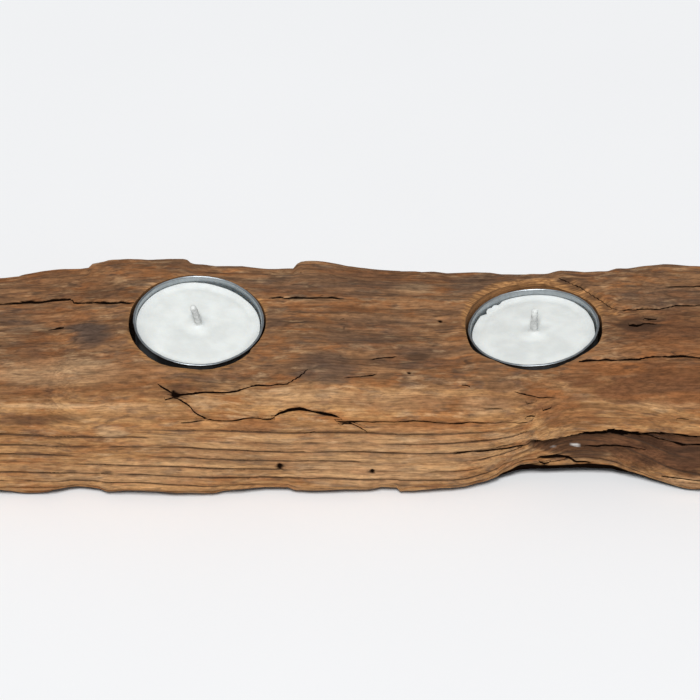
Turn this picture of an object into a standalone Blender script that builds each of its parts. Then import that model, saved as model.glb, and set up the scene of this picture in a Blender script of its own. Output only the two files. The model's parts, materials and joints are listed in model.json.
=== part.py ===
"""Driftwood tealight holder: one long block of weathered softwood with two drilled
recesses, and in each recess a tealight made of a drawn aluminium cup, a wax disc,
a wick and the metal tab that holds the wick upright.

Frame: +X along the block, +Z up, -Y to the front. The origin is under the middle of
the block, on the surface it stands on. Units are metres.

    blender --background --python part.py
"""

import bpy
import numpy as np
from math import radians, tau

MM = 0.001

# The block: overall length, and its flat, planed underside at Z = 0.
LENGTH = 300 * MM
BODY_COLUMNS = 53  # sections between the two worn ends
END_RUN = 14 * MM  # length of each end over which the section shrinks
END_SHRINK = 0.24  # share of the section that is worn away at the very end
END_COLUMNS = (0.4, 0.65, 0.85, 1.0)  # where each end's sections lie along its run
SAMPLES_PER_POINT = 2  # points of the section's outline for each control point

# Recesses: drilled by hand, a little wider than the cups, each leaning its own way.
LIGHT_SPACING = 97.0 * MM
HOLE_RADIUS = 20.3 * MM
CUTTER_LENGTH = 40 * MM
SEAT_GAP = 0.3 * MM  # between pieces that touch

# Tealight cup: drawn aluminium with a rolled rim.
CUP_HEIGHT = 15.5 * MM
CUP_RIM_RADIUS = 19.0 * MM
CUP_TOP_RADIUS = 18.45 * MM
CUP_FOOT_RADIUS = 17.85 * MM
CUP_FOOT_FILLET = 1.0 * MM
CUP_WALL = 0.25 * MM
RIM_ROLL = 0.5 * MM  # height and width of the rolled edge
ROUNDED = 0.3  # share of a corner's size at which its one middle point sits

# Wax, wick and wick tab.
WAX_DROP = 2.1 * MM  # wax surface below the rim
WAX_FOOT_RADIUS = 17.3 * MM
WAX_FOOT_FILLET = 1.0 * MM
WAX_TOP_RADIUS = 17.75 * MM
WAX_EDGE_WIDTH = 1.6 * MM  # the raised edge where the wax clung to the cup
WAX_EDGE_RISE = 0.35 * MM
WICK_RADIUS = 0.9 * MM
WICK_CLEARANCE = 0.3 * MM
WICK_BENDS = 4
WICK_BEND_POWER = 1.5
TAB_RADIUS = 6.25 * MM
TAB_THICKNESS = 0.35 * MM
COLLAR_WALL = 0.4 * MM
COLLAR_HEIGHT = 3.0 * MM

TURN_STEPS = 48
SMALL_TURN_STEPS = 20
SMOOTH_ANGLE = radians(35)

# Each light: rim centre, lean of its axis towards +X and towards the front, where the
# cup stands inside its wider recess, and the wick's height and lean above the wax.
LIGHTS = {
    "left": {
        "rim": (-LIGHT_SPACING / 2, 2.5 * MM, 37.6 * MM),
        "lean_right": radians(2.0),
        "lean_front": radians(4.0),
        "cup_offset": (0.65 * MM, 0.60 * MM),
        "wick_height": 6.9 * MM,
        "wick_lean": (-1.9 * MM, 0.3 * MM),
    },
    "right": {
        "rim": (LIGHT_SPACING / 2, 1.5 * MM, 35.9 * MM),
        "lean_right": radians(-4.0),
        "lean_front": radians(-3.0),
        "cup_offset": (0.0, 0.70 * MM),
        "wick_height": 8.0 * MM,
        "wick_lean": (0.7 * MM, 0.4 * MM),
    },
}

# How the block changes along X, as (station in mm, value in mm or share).
CROWN = [
    (-150, 33.5), (-125, 35.5), (-105, 36.2), (-90, 37.0), (-76, 38.4), (-65, 39.2),
    (-53, 39.2), (-44, 38.3), (-28, 37.6), (-15, 38.2), (0, 37.4), (15, 36.9),
    (35, 37.3), (55, 37.8), (75, 38.6), (97, 38.5), (120, 36.8), (150, 33.5),
]
BACK = [
    (-150, 28.5), (-125, 30.5), (-105, 30.0), (-90, 31.2), (-76, 33.2), (-65, 34.2),
    (-53, 34.2), (-44, 33.0), (-26, 32.4), (-15, 33.8), (-5, 32.8), (6, 31.4),
    (20, 31.2), (35, 31.2), (55, 31.2), (75, 32.2), (97, 33.2), (120, 32.0),
    (150, 28.5),
]
FRONT = [
    (-150, 29.0), (-125, 32.0), (-105, 33.4), (-92, 34.0), (-82, 31.6), (-70, 33.4),
    (-50, 34.4), (-38, 33.4), (-28, 31.8), (-10, 32.8), (4, 32.0), (15, 32.6),
    (28, 31.6), (40, 30.6), (60, 30.4), (75, 30.6), (97, 32.6), (120, 31.4),
    (150, 28.0),
]
# The eroded arch under the front edge, and the hollow above it where a layer broke out.
ARCH = [
    (-150, 0.0), (22, 0.0), (33, 0.25), (40, 0.68), (46, 0.93), (54, 0.92), (64, 1.0),
    (70, 0.93), (76, 0.62), (84, 0.25), (91, 0.05), (97, 0.0), (150, 0.0),
]
HOLLOW = [
    (-150, 0.0), (42, 0.0), (52, 0.6), (62, 1.0), (95, 1.0), (112, 0.6), (128, 0.0),
    (150, 0.0),
]
ARCH_LIFT = 6.0
ARCH_SETBACK = 5.3
HOLLOW_DEPTH = 3.5

# Outline of a plain section, from the middle of the underside round the front, the top
# and the back: Y as a share of the front's or back's depth, Z in mm, share of the
# crown's height added, then the shares of arch lift, arch setback and hollow.
OUTLINE = [
    (0.00, -0.6, 0, 0.00, 0.00, 0.0),
    (-0.45, -0.6, 0, 0.08, 0.00, 0.0),
    (-0.80, 0.1, 0, 0.75, 0.45, 0.0),
    (-0.96, 3.2, 0, 1.00, 1.00, 0.0),
    (-1.00, 9.0, 0, 0.55, 0.90, 0.35),
    (-0.995, 17.0, 0, 0.10, 0.35, 1.0),
    (-0.97, -11.2, 1, 0.00, 0.00, 0.9),
    (-0.84, -5.2, 1, 0.00, 0.00, 0.0),
    (-0.60, -1.5, 1, 0.00, 0.00, 0.0),
    (-0.30, -0.3, 1, 0.00, 0.00, 0.0),
    (0.06, 0.0, 1, 0.00, 0.00, 0.0),
    (0.44, 0.0, 1, 0.00, 0.00, 0.0),
    (0.74, -0.5, 1, 0.00, 0.00, 0.0),
    (0.93, -2.8, 1, 0.00, 0.00, 0.0),
    (1.00, -10.0, 1, 0.00, 0.00, 0.0),
    (1.00, 15.0, 0, 0.00, 0.00, 0.0),
    (0.94, 5.0, 0, 0.00, 0.00, 0.0),
    (0.78, -0.3, 0, 0.00, 0.00, 0.0),
    (0.42, -0.6, 0, 0.00, 0.00, 0.0),
]
END_CENTRE_Z = 17.0  # height about which the ends shrink, in mm

# Plain materials: base colour, roughness, metallic.
FINISHES = {
    "driftwood": ((0.40, 0.24, 0.13), 0.85, 0.0),
    "aluminium": ((0.72, 0.74, 0.77), 0.30, 1.0),
    "steel": ((0.62, 0.62, 0.63), 0.35, 1.0),
    "wax": ((0.90, 0.91, 0.90), 0.45, 0.0),
    "wick": ((0.82, 0.82, 0.80), 0.80, 0.0),
}


# ---------------------------------------------------------------- curves


def along(x, stations):
    """Smooth curve through the stations at x, in mm: a cubic in each span, level at
    every station that is a high or a low, so that nothing overshoots."""
    knots, values = np.array(stations, float).T
    rises = np.diff(values) / np.diff(knots)
    slopes = np.zeros(len(knots))
    turning = rises[:-1] * rises[1:] <= 0
    sums = np.where(turning, 1, rises[:-1] + rises[1:])
    slopes[1:-1] = np.where(turning, 0, 2 * rises[:-1] * rises[1:] / sums)
    span = np.clip(np.searchsorted(knots, x, side="right") - 1, 0, len(knots) - 2)
    width = knots[span + 1] - knots[span]
    t = (x - knots[span]) / width
    rise = 3 * t**2 - 2 * t**3
    return (
        values[span] * (1 - rise)
        + values[span + 1] * rise
        + width * slopes[span] * (t - 2 * t**2 + t**3)
        + width * slopes[span + 1] * (t**3 - t**2)
    )


def closed_spline(points, samples):
    """Catmull-Rom curve round the closed list of points, with that many samples in
    each span."""
    before, after = np.roll(points, 1, axis=0), np.roll(points, -1, axis=0)
    beyond = np.roll(points, -2, axis=0)
    t = (np.arange(samples) / samples)[None, :, None]
    p0, p1, p2, p3 = (p[:, None, :] for p in (before, points, after, beyond))
    curve = 0.5 * (
        2 * p1
        + (p2 - p0) * t
        + (2 * p0 - 5 * p1 + 4 * p2 - p3) * t**2
        + (3 * p1 - p0 - 3 * p2 + p3) * t**3
    )
    return curve.reshape(-1, 2)


def end_scale(x):
    """Share of the section left at x, in mm: 1 along the body, less in each worn end."""
    into_end = np.clip((abs(x) - (LENGTH / 2 - END_RUN) / MM) / (END_RUN / MM), 0, 1)
    return 1 - END_SHRINK * into_end**3


def section(x):
    """Outline of the block at x, in mm, as rows of Y and Z in mm, shrunk towards its
    middle in the ends. What would reach below the planed underside is flat at Z = 0."""
    crown, arch, hollow = along(x, CROWN), along(x, ARCH), along(x, HOLLOW)
    points = []
    for share, height, from_crown, lift, setback, hollowed in OUTLINE:
        depth = along(x, FRONT) if share < 0 else along(x, BACK)
        y = share * depth + setback * arch * ARCH_SETBACK + hollowed * hollow * HOLLOW_DEPTH
        z = height + from_crown * crown + lift * arch * ARCH_LIFT
        points.append((y, z))
    outline = closed_spline(np.array(points), SAMPLES_PER_POINT)
    centre = np.array([0.0, END_CENTRE_Z])
    outline = centre + (outline - centre) * end_scale(x)
    outline[:, 1] = np.maximum(outline[:, 1], 0.0)
    return outline


# ---------------------------------------------------------------- helpers


def clear_scene():
    for obj in list(bpy.data.objects):
        bpy.data.objects.remove(obj, do_unlink=True)


def new_collection(name):
    made = bpy.data.collections.new(name)
    bpy.context.scene.collection.children.link(made)
    return made


def material(name):
    """Plain Principled material of that finish, made once."""
    if name in bpy.data.materials:
        return bpy.data.materials[name]
    colour, roughness, metallic = FINISHES[name]
    made = bpy.data.materials.new(name)
    made.use_nodes = True
    shader = made.node_tree.nodes["Principled BSDF"]
    shader.inputs["Base Color"].default_value = (*colour, 1)
    shader.inputs["Roughness"].default_value = roughness
    shader.inputs["Metallic"].default_value = metallic
    return made


def add_object(name, data, collection, finish=None, parent=None):
    obj = bpy.data.objects.new(name, data)
    collection.objects.link(obj)
    obj.parent = parent
    if finish:
        data.materials.append(material(finish))
    return obj


def smooth(obj):
    obj.data.shade_smooth()
    obj.data.set_sharp_from_angle(angle=SMOOTH_ANGLE)


def turned(name, profile, steps, collection, finish, parent):
    """Solid of revolution about its own Z: a Screw on the profile, a list of
    (radius, height) points that starts at the top and comes down the outer side."""
    mesh = bpy.data.meshes.new(name)
    closed = profile[0][0] > 0
    count = len(profile)
    edges = [(i, i + 1) for i in range(count - 1)]
    if closed:
        edges.append((count - 1, 0))
    mesh.from_pydata([(r, 0, z) for r, z in profile], edges, [])
    obj = add_object(name, mesh, collection, finish, parent)
    screw = obj.modifiers.new("turn", "SCREW")
    screw.axis = "Z"
    screw.angle = tau
    screw.steps = screw.render_steps = steps
    screw.use_merge_vertices = True
    screw.merge_threshold = 0.00001
    screw.use_smooth_shade = True
    return obj


# ---------------------------------------------------------------- the block


def section_places():
    """X of every section, in mm: even along the body, closer together in the ends."""
    body_end = (LENGTH / 2 - END_RUN) / MM
    body = np.linspace(-body_end, body_end, BODY_COLUMNS)
    into_end = np.array(END_COLUMNS) * END_RUN / MM
    return np.concatenate([-body_end - into_end[::-1], body, body_end + into_end])


def driftwood_block(collection):
    """The weathered block, a loft through its changing sections with flat ends."""
    places = section_places()
    sections = [section(x) for x in places]
    around = len(sections[0])
    points = [
        (x * MM, y * MM, z * MM) for x, rows in zip(places, sections) for y, z in rows
    ]
    faces = []
    for i in range(len(places) - 1):
        for j in range(around):
            k = (j + 1) % around
            here, there = i * around, (i + 1) * around
            faces.append((here + j, here + k, there + k, there + j))
    faces.append(tuple(reversed(range(around))))
    faces.append(tuple(range((len(places) - 1) * around, len(places) * around)))
    mesh = bpy.data.meshes.new("driftwood_block")
    mesh.from_pydata(points, [], faces)
    mesh.flip_normals()
    obj = add_object("driftwood_block", mesh, collection, "driftwood")
    smooth(obj)
    return obj


def cut_recess(block, side, axis, cutters):
    """Drills the block along the light's axis, down to the seat under its cup."""
    bpy.ops.mesh.primitive_cylinder_add(
        vertices=TURN_STEPS, radius=HOLE_RADIUS, depth=CUTTER_LENGTH
    )
    cutter = bpy.context.object
    cutter.name = f"{side}_recess_cutter"
    for owner in list(cutter.users_collection):
        owner.objects.unlink(cutter)
    cutters.objects.link(cutter)
    cutter.parent = axis
    cutter.location = (0, 0, CUTTER_LENGTH / 2 - CUP_HEIGHT - SEAT_GAP)
    cutter.hide_render = True
    cutter.display_type = "WIRE"
    cut = block.modifiers.new(f"{side}_recess", "BOOLEAN")
    cut.operation = "DIFFERENCE"
    cut.solver = "EXACT"
    cut.object = cutter


# ---------------------------------------------------------------- a tealight


def light_axis(side, spec, collection):
    """Empty at the rim's centre, with Z along the way the tealight lifts out."""
    axis = bpy.data.objects.new(f"{side}_light_axis", None)
    collection.objects.link(axis)
    axis.location = spec["rim"]
    axis.rotation_euler = (spec["lean_front"], spec["lean_right"], 0)
    return axis


def cup_place(side, spec, axis, collection):
    """Empty at the cup's centre, level with its rim, off the recess's own centre."""
    place = bpy.data.objects.new(f"{side}_cup_place", None)
    collection.objects.link(place)
    place.parent = axis
    place.location = (*spec["cup_offset"], 0)
    return place


def tealight_cup(side, place, collection):
    """Drawn aluminium cup with a flat foot, a slightly flared wall and a rolled rim."""
    foot, wall = -CUP_HEIGHT, CUP_WALL
    corner, roll = ROUNDED * CUP_FOOT_FILLET, ROUNDED * RIM_ROLL
    inner_corner = corner - wall / 3
    profile = [
        (0, foot + wall),
        (CUP_FOOT_RADIUS - CUP_FOOT_FILLET, foot + wall),
        (CUP_FOOT_RADIUS - wall - inner_corner, foot + wall + inner_corner),
        (CUP_FOOT_RADIUS - wall, foot + CUP_FOOT_FILLET),
        (CUP_TOP_RADIUS - wall, -RIM_ROLL),
        (CUP_TOP_RADIUS - wall + roll / 2, 0),
        (CUP_RIM_RADIUS - roll, 0),
        (CUP_RIM_RADIUS, -roll),
        (CUP_RIM_RADIUS, -RIM_ROLL),
        (CUP_TOP_RADIUS, -RIM_ROLL),
        (CUP_FOOT_RADIUS, foot + CUP_FOOT_FILLET),
        (CUP_FOOT_RADIUS - corner, foot + corner),
        (CUP_FOOT_RADIUS - CUP_FOOT_FILLET, foot),
        (0, foot),
    ]
    return turned(f"{side}_cup", profile, TURN_STEPS, collection, "aluminium", place)


def wax_disc(side, place, collection):
    """Wax poured round the wick: its top has a slight rim, and its underside has room
    for the wick tab and its collar."""
    top, foot = -WAX_DROP, -CUP_HEIGHT + CUP_WALL + SEAT_GAP
    bore = WICK_RADIUS + WICK_CLEARANCE
    over_tab = foot + TAB_THICKNESS + SEAT_GAP
    collar = bore + COLLAR_WALL + WICK_CLEARANCE
    profile = [
        (bore, top),
        (WAX_TOP_RADIUS - WAX_EDGE_WIDTH, top),
        (WAX_TOP_RADIUS, top + WAX_EDGE_RISE),
        (WAX_FOOT_RADIUS, foot + WAX_FOOT_FILLET),
        (WAX_FOOT_RADIUS - WAX_FOOT_FILLET, foot),
        (TAB_RADIUS + SEAT_GAP, foot),
        (TAB_RADIUS + SEAT_GAP, over_tab),
        (collar, over_tab),
        (collar, foot + COLLAR_HEIGHT + SEAT_GAP),
        (bore, foot + COLLAR_HEIGHT + 2 * SEAT_GAP),
    ]
    return turned(f"{side}_wax", profile, TURN_STEPS, collection, "wax", place)


def wick_tab(side, place, collection):
    """Pressed steel disc with a collar, which stands on the cup's floor."""
    foot = -CUP_HEIGHT + CUP_WALL + SEAT_GAP
    inner = WICK_RADIUS + WICK_CLEARANCE
    outer = inner + COLLAR_WALL
    profile = [
        (inner, foot + COLLAR_HEIGHT),
        (outer, foot + COLLAR_HEIGHT),
        (outer, foot + TAB_THICKNESS),
        (TAB_RADIUS, foot + TAB_THICKNESS),
        (TAB_RADIUS, foot),
        (inner, foot),
    ]
    return turned(f"{side}_wick_tab", profile, SMALL_TURN_STEPS, collection, "steel", place)


def wick(side, spec, place, collection):
    """Waxed cotton wick: straight through the wax, then leaning a little above it."""
    foot, top = -CUP_HEIGHT + CUP_WALL + SEAT_GAP, -WAX_DROP
    lean_x, lean_y = spec["wick_lean"]
    route = [(0, 0, foot), (0, 0, top)]
    for i in range(1, WICK_BENDS + 1):
        share = i / WICK_BENDS
        bend = share**WICK_BEND_POWER
        route.append((lean_x * bend, lean_y * bend, top + spec["wick_height"] * share))
    curve = bpy.data.curves.new(f"{side}_wick", "CURVE")
    curve.dimensions = "3D"
    curve.bevel_depth = WICK_RADIUS
    curve.bevel_resolution = 2
    curve.use_fill_caps = True
    spline = curve.splines.new("POLY")
    spline.points.add(len(route) - 1)
    for point, where in zip(spline.points, route):
        point.co = (*where, 1)
    return add_object(f"{side}_wick", curve, collection, "wick", place)


# ---------------------------------------------------------------- assembly


def main():
    clear_scene()
    parts = new_collection("tealight_holder")
    cutters = new_collection("cutters")
    block = driftwood_block(parts)
    for side, spec in LIGHTS.items():
        axis = light_axis(side, spec, parts)
        place = cup_place(side, spec, axis, parts)
        cut_recess(block, side, axis, cutters)
        tealight_cup(side, place, parts)
        wax_disc(side, place, parts)
        wick_tab(side, place, parts)
        wick(side, spec, place, parts)


main()
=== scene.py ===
"""Looks of a driftwood tealight holder: the weathered block, its two tealights and the
stage they are shown on, laid out as an add-on and run as a script.

Every new piece is a surface worked out with numpy, in millimetres while it is being
shaped and in metres in its mesh. X runs along the block, Z up and -Y to the front.
Features of the block are placed by X and by their rise: the distance up a plane that
leans back by RISE_TILT, along which front and top follow each other without a fold.
"""

import json
from math import cos, pi, radians, sin, tan, tau

import bpy
import numpy as np
from bpy.props import FloatProperty, FloatVectorProperty, PointerProperty
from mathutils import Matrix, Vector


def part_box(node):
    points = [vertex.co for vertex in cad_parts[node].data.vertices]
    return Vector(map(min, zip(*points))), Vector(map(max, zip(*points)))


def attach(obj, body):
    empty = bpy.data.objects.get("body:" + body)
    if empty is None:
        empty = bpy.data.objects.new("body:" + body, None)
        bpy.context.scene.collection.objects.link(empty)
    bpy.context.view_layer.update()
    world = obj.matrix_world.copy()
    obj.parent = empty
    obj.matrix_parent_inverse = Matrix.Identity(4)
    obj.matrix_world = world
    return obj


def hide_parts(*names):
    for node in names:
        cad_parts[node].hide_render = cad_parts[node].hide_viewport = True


bl_info = {
    "name": "Driftwood tealight holder",
    "version": (1, 0, 0),
    "blender": (4, 5, 0),
    "location": "View3D > Sidebar > Tealights",
    "description": "Builds a driftwood holder with two tealights around its frame",
    "category": "Object",
}

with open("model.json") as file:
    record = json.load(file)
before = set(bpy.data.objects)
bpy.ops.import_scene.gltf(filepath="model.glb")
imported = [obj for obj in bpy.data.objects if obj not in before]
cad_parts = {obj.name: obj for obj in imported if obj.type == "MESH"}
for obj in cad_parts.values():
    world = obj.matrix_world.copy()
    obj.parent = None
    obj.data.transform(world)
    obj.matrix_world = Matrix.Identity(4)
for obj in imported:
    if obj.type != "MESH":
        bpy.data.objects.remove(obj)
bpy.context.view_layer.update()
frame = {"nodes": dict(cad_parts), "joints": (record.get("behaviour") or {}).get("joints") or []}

MM = 0.001
SIDES = ("left", "right")

# ---------------------------------------------------------------- the block's numbers

RISE_TILT = radians(39.5)
HALF_LENGTH = 150.0
END_RUN = 14.0
END_SHRINK = 0.24
END_CENTRE_Z = 17.0

# Height of the top, depth behind and in front of the middle, along X.
CROWN = [
    (-150, 33.5), (-125, 35.5), (-105, 36.2), (-90, 37.0), (-76, 38.4), (-65, 39.2),
    (-53, 39.2), (-44, 38.3), (-28, 37.6), (-15, 38.2), (0, 37.4), (15, 36.9),
    (35, 37.3), (55, 37.8), (75, 38.6), (97, 38.5), (120, 36.8), (150, 33.5),
]
BACK = [
    (-150, 28.5), (-125, 30.5), (-105, 30.0), (-90, 31.2), (-76, 33.2), (-65, 34.2),
    (-53, 34.2), (-44, 33.0), (-26, 32.4), (-15, 33.8), (-5, 32.8), (6, 31.4),
    (20, 31.2), (35, 31.2), (55, 31.2), (75, 32.2), (97, 33.2), (120, 32.0),
    (150, 28.5),
]
FRONT = [
    (-150, 29.0), (-125, 32.0), (-105, 33.4), (-92, 34.0), (-82, 31.6), (-70, 33.4),
    (-50, 34.4), (-38, 33.4), (-28, 31.8), (-10, 32.8), (4, 32.0), (15, 32.6),
    (28, 31.6), (40, 30.6), (60, 30.4), (75, 30.6), (97, 32.6), (120, 31.4),
    (150, 28.0),
]
ARCH = [
    (-150, 0.0), (24, 0.0), (34, 0.17), (40, 0.48), (46, 0.76), (54, 0.80), (64, 0.84),
    (70, 0.80), (76, 0.58), (84, 0.27), (91, 0.06), (97, 0.0), (150, 0.0),
]
HOLLOW = [
    (-150, 0.0), (42, 0.0), (52, 0.6), (62, 1.0), (95, 1.0), (112, 0.6), (128, 0.0),
    (150, 0.0),
]
ARCH_LIFT, ARCH_SETBACK, HOLLOW_DEPTH = 6.0, 5.3, 3.5

# Section: Y as a share of the depth, Z, share of the crown added, then the shares of
# arch lift, arch setback and hollow. It starts under the middle and goes up the front.
OUTLINE = np.array([
    (0.00, -0.6, 0, 0.00, 0.00, 0.0), (-0.45, -0.6, 0, 0.08, 0.00, 0.0),
    (-0.80, 0.1, 0, 0.60, 0.45, 0.0), (-0.96, 3.2, 0, 1.00, 1.00, 0.0),
    (-1.00, 9.0, 0, 0.55, 0.90, 0.35), (-0.995, 17.0, 0, 0.10, 0.35, 1.0),
    (-0.97, -11.2, 1, 0.00, 0.00, 0.9), (-0.84, -5.2, 1, 0.00, 0.00, 0.0),
    (-0.60, -1.5, 1, 0.00, 0.00, 0.0), (-0.30, -0.3, 1, 0.00, 0.00, 0.0),
    (0.06, 0.0, 1, 0.00, 0.00, 0.0), (0.44, 0.0, 1, 0.00, 0.00, 0.0),
    (0.74, -0.5, 1, 0.00, 0.00, 0.0), (0.93, -2.8, 1, 0.00, 0.00, 0.0),
    (1.00, -10.0, 1, 0.00, 0.00, 0.0), (1.00, 15.0, 0, 0.00, 0.00, 0.0),
    (0.94, 5.0, 0, 0.00, 0.00, 0.0), (0.78, -0.3, 0, 0.00, 0.00, 0.0),
    (0.42, -0.6, 0, 0.00, 0.00, 0.0),
])
TURNS = len(OUTLINE)
FACE_START, FACE_END = 2.3, 13.9  # the part of the turn that is front and top
BACK_END = 17.0

# The mesh: distances between its rows and columns.
FACE_SPACING, BACK_SPACING, FOOT_SPACING = 0.32, 0.8, 1.8
FINE_FROM, FINE_TO = -106.0, 98.0
COLUMN_SPACING, END_SPACING = 1.15, 1.7
END_STEPS = (2, 4, 6, 8, 10, 11.6, 12.8, 13.5, 13.8, 13.95, 14.0)
END_ROUNDING = (0.99, 0.972, 0.95)  # share of the section at the last steps
END_TURNING = (0.2, 0.5, 0.8, 1.0)  # how far the surface there faces the end
CAP_RINGS = (0.8, 0.62, 0.44, 0.26, 0.1)  # rings of the flat end, as shares

# Growth rings: the pith lies below and behind, and the rings rise towards the left end
# and over the arch. Ring 0 ends at the first stripe under the front's shoulder.
PITH = (15.0, -65.0)
FIRST_RING = 100.9
RING_RISE = [
    (-150, 3.5), (-103, 2.75), (-70, 2.05), (-35, 0.8), (-4, 0.3), (15, -0.15), (27, 0.1),
    (34, 0.35), (40, 1.0), (48, 2.6), (64, 5.0), (76, 3.6), (90, 1.2), (105, 0.0),
    (150, -1.0),
]
MEAN_FRONT, MEAN_BACK = 33.0, 32.5  # the rings ignore how the outside has worn

# The broken line of the back edge: small steps up and down along X.
BACK_EDGE = [
    (-150, 0.0), (-105, -0.2), (-94, 0.4), (-88, 0.0), (-83, -0.7), (-80.2, -0.7),
    (-79.8, 0.3), (-76, 0.5), (-74.6, 0.8), (-70, 0.5), (-64, 0.0), (-53, 0.2),
    (-51.4, 0.0), (-50.6, -1.0), (-46, -0.5), (-36, 0.4), (-30, 0.0), (-24, -0.4),
    (-20.2, -1.1), (-19.6, 0.6), (-16, 0.4), (-12, 0.2), (-5, -0.2), (6, 0.0),
    (20, 0.2), (24, -0.4), (32, -0.2), (45, -0.5), (53, -0.4), (57, 0.7), (60, 0.4),
    (65, -0.5), (71, -0.6), (73.5, 0.1), (87, 0.4), (100, -0.1), (112, 0.3),
    (113, -0.6), (130, -0.3), (150, 0.0),
]

# Small steps of the front's lower edge in the same way.
FOOT_EDGE = [
    (-150, 0.0), (-78, 0.0), (-76.5, 0.1), (-74, 0.9), (-68, 0.3), (-60, 0.0),
    (-45, 0.1), (-43.4, 0.3), (-40.5, -0.3), (-34, 0.0), (-21.8, 0.0), (-20.4, 0.8),
    (-15, 0.9), (-6, 0.5), (1.5, 0.5), (3.2, 0.2), (4.6, -0.2), (9.0, -0.1), (9.6, 1.0),
    (16, 0.2), (24, 0.0), (38.0, 0.3), (39.2, -0.5), (45, 0.0), (150, 0.0),
]

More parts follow.
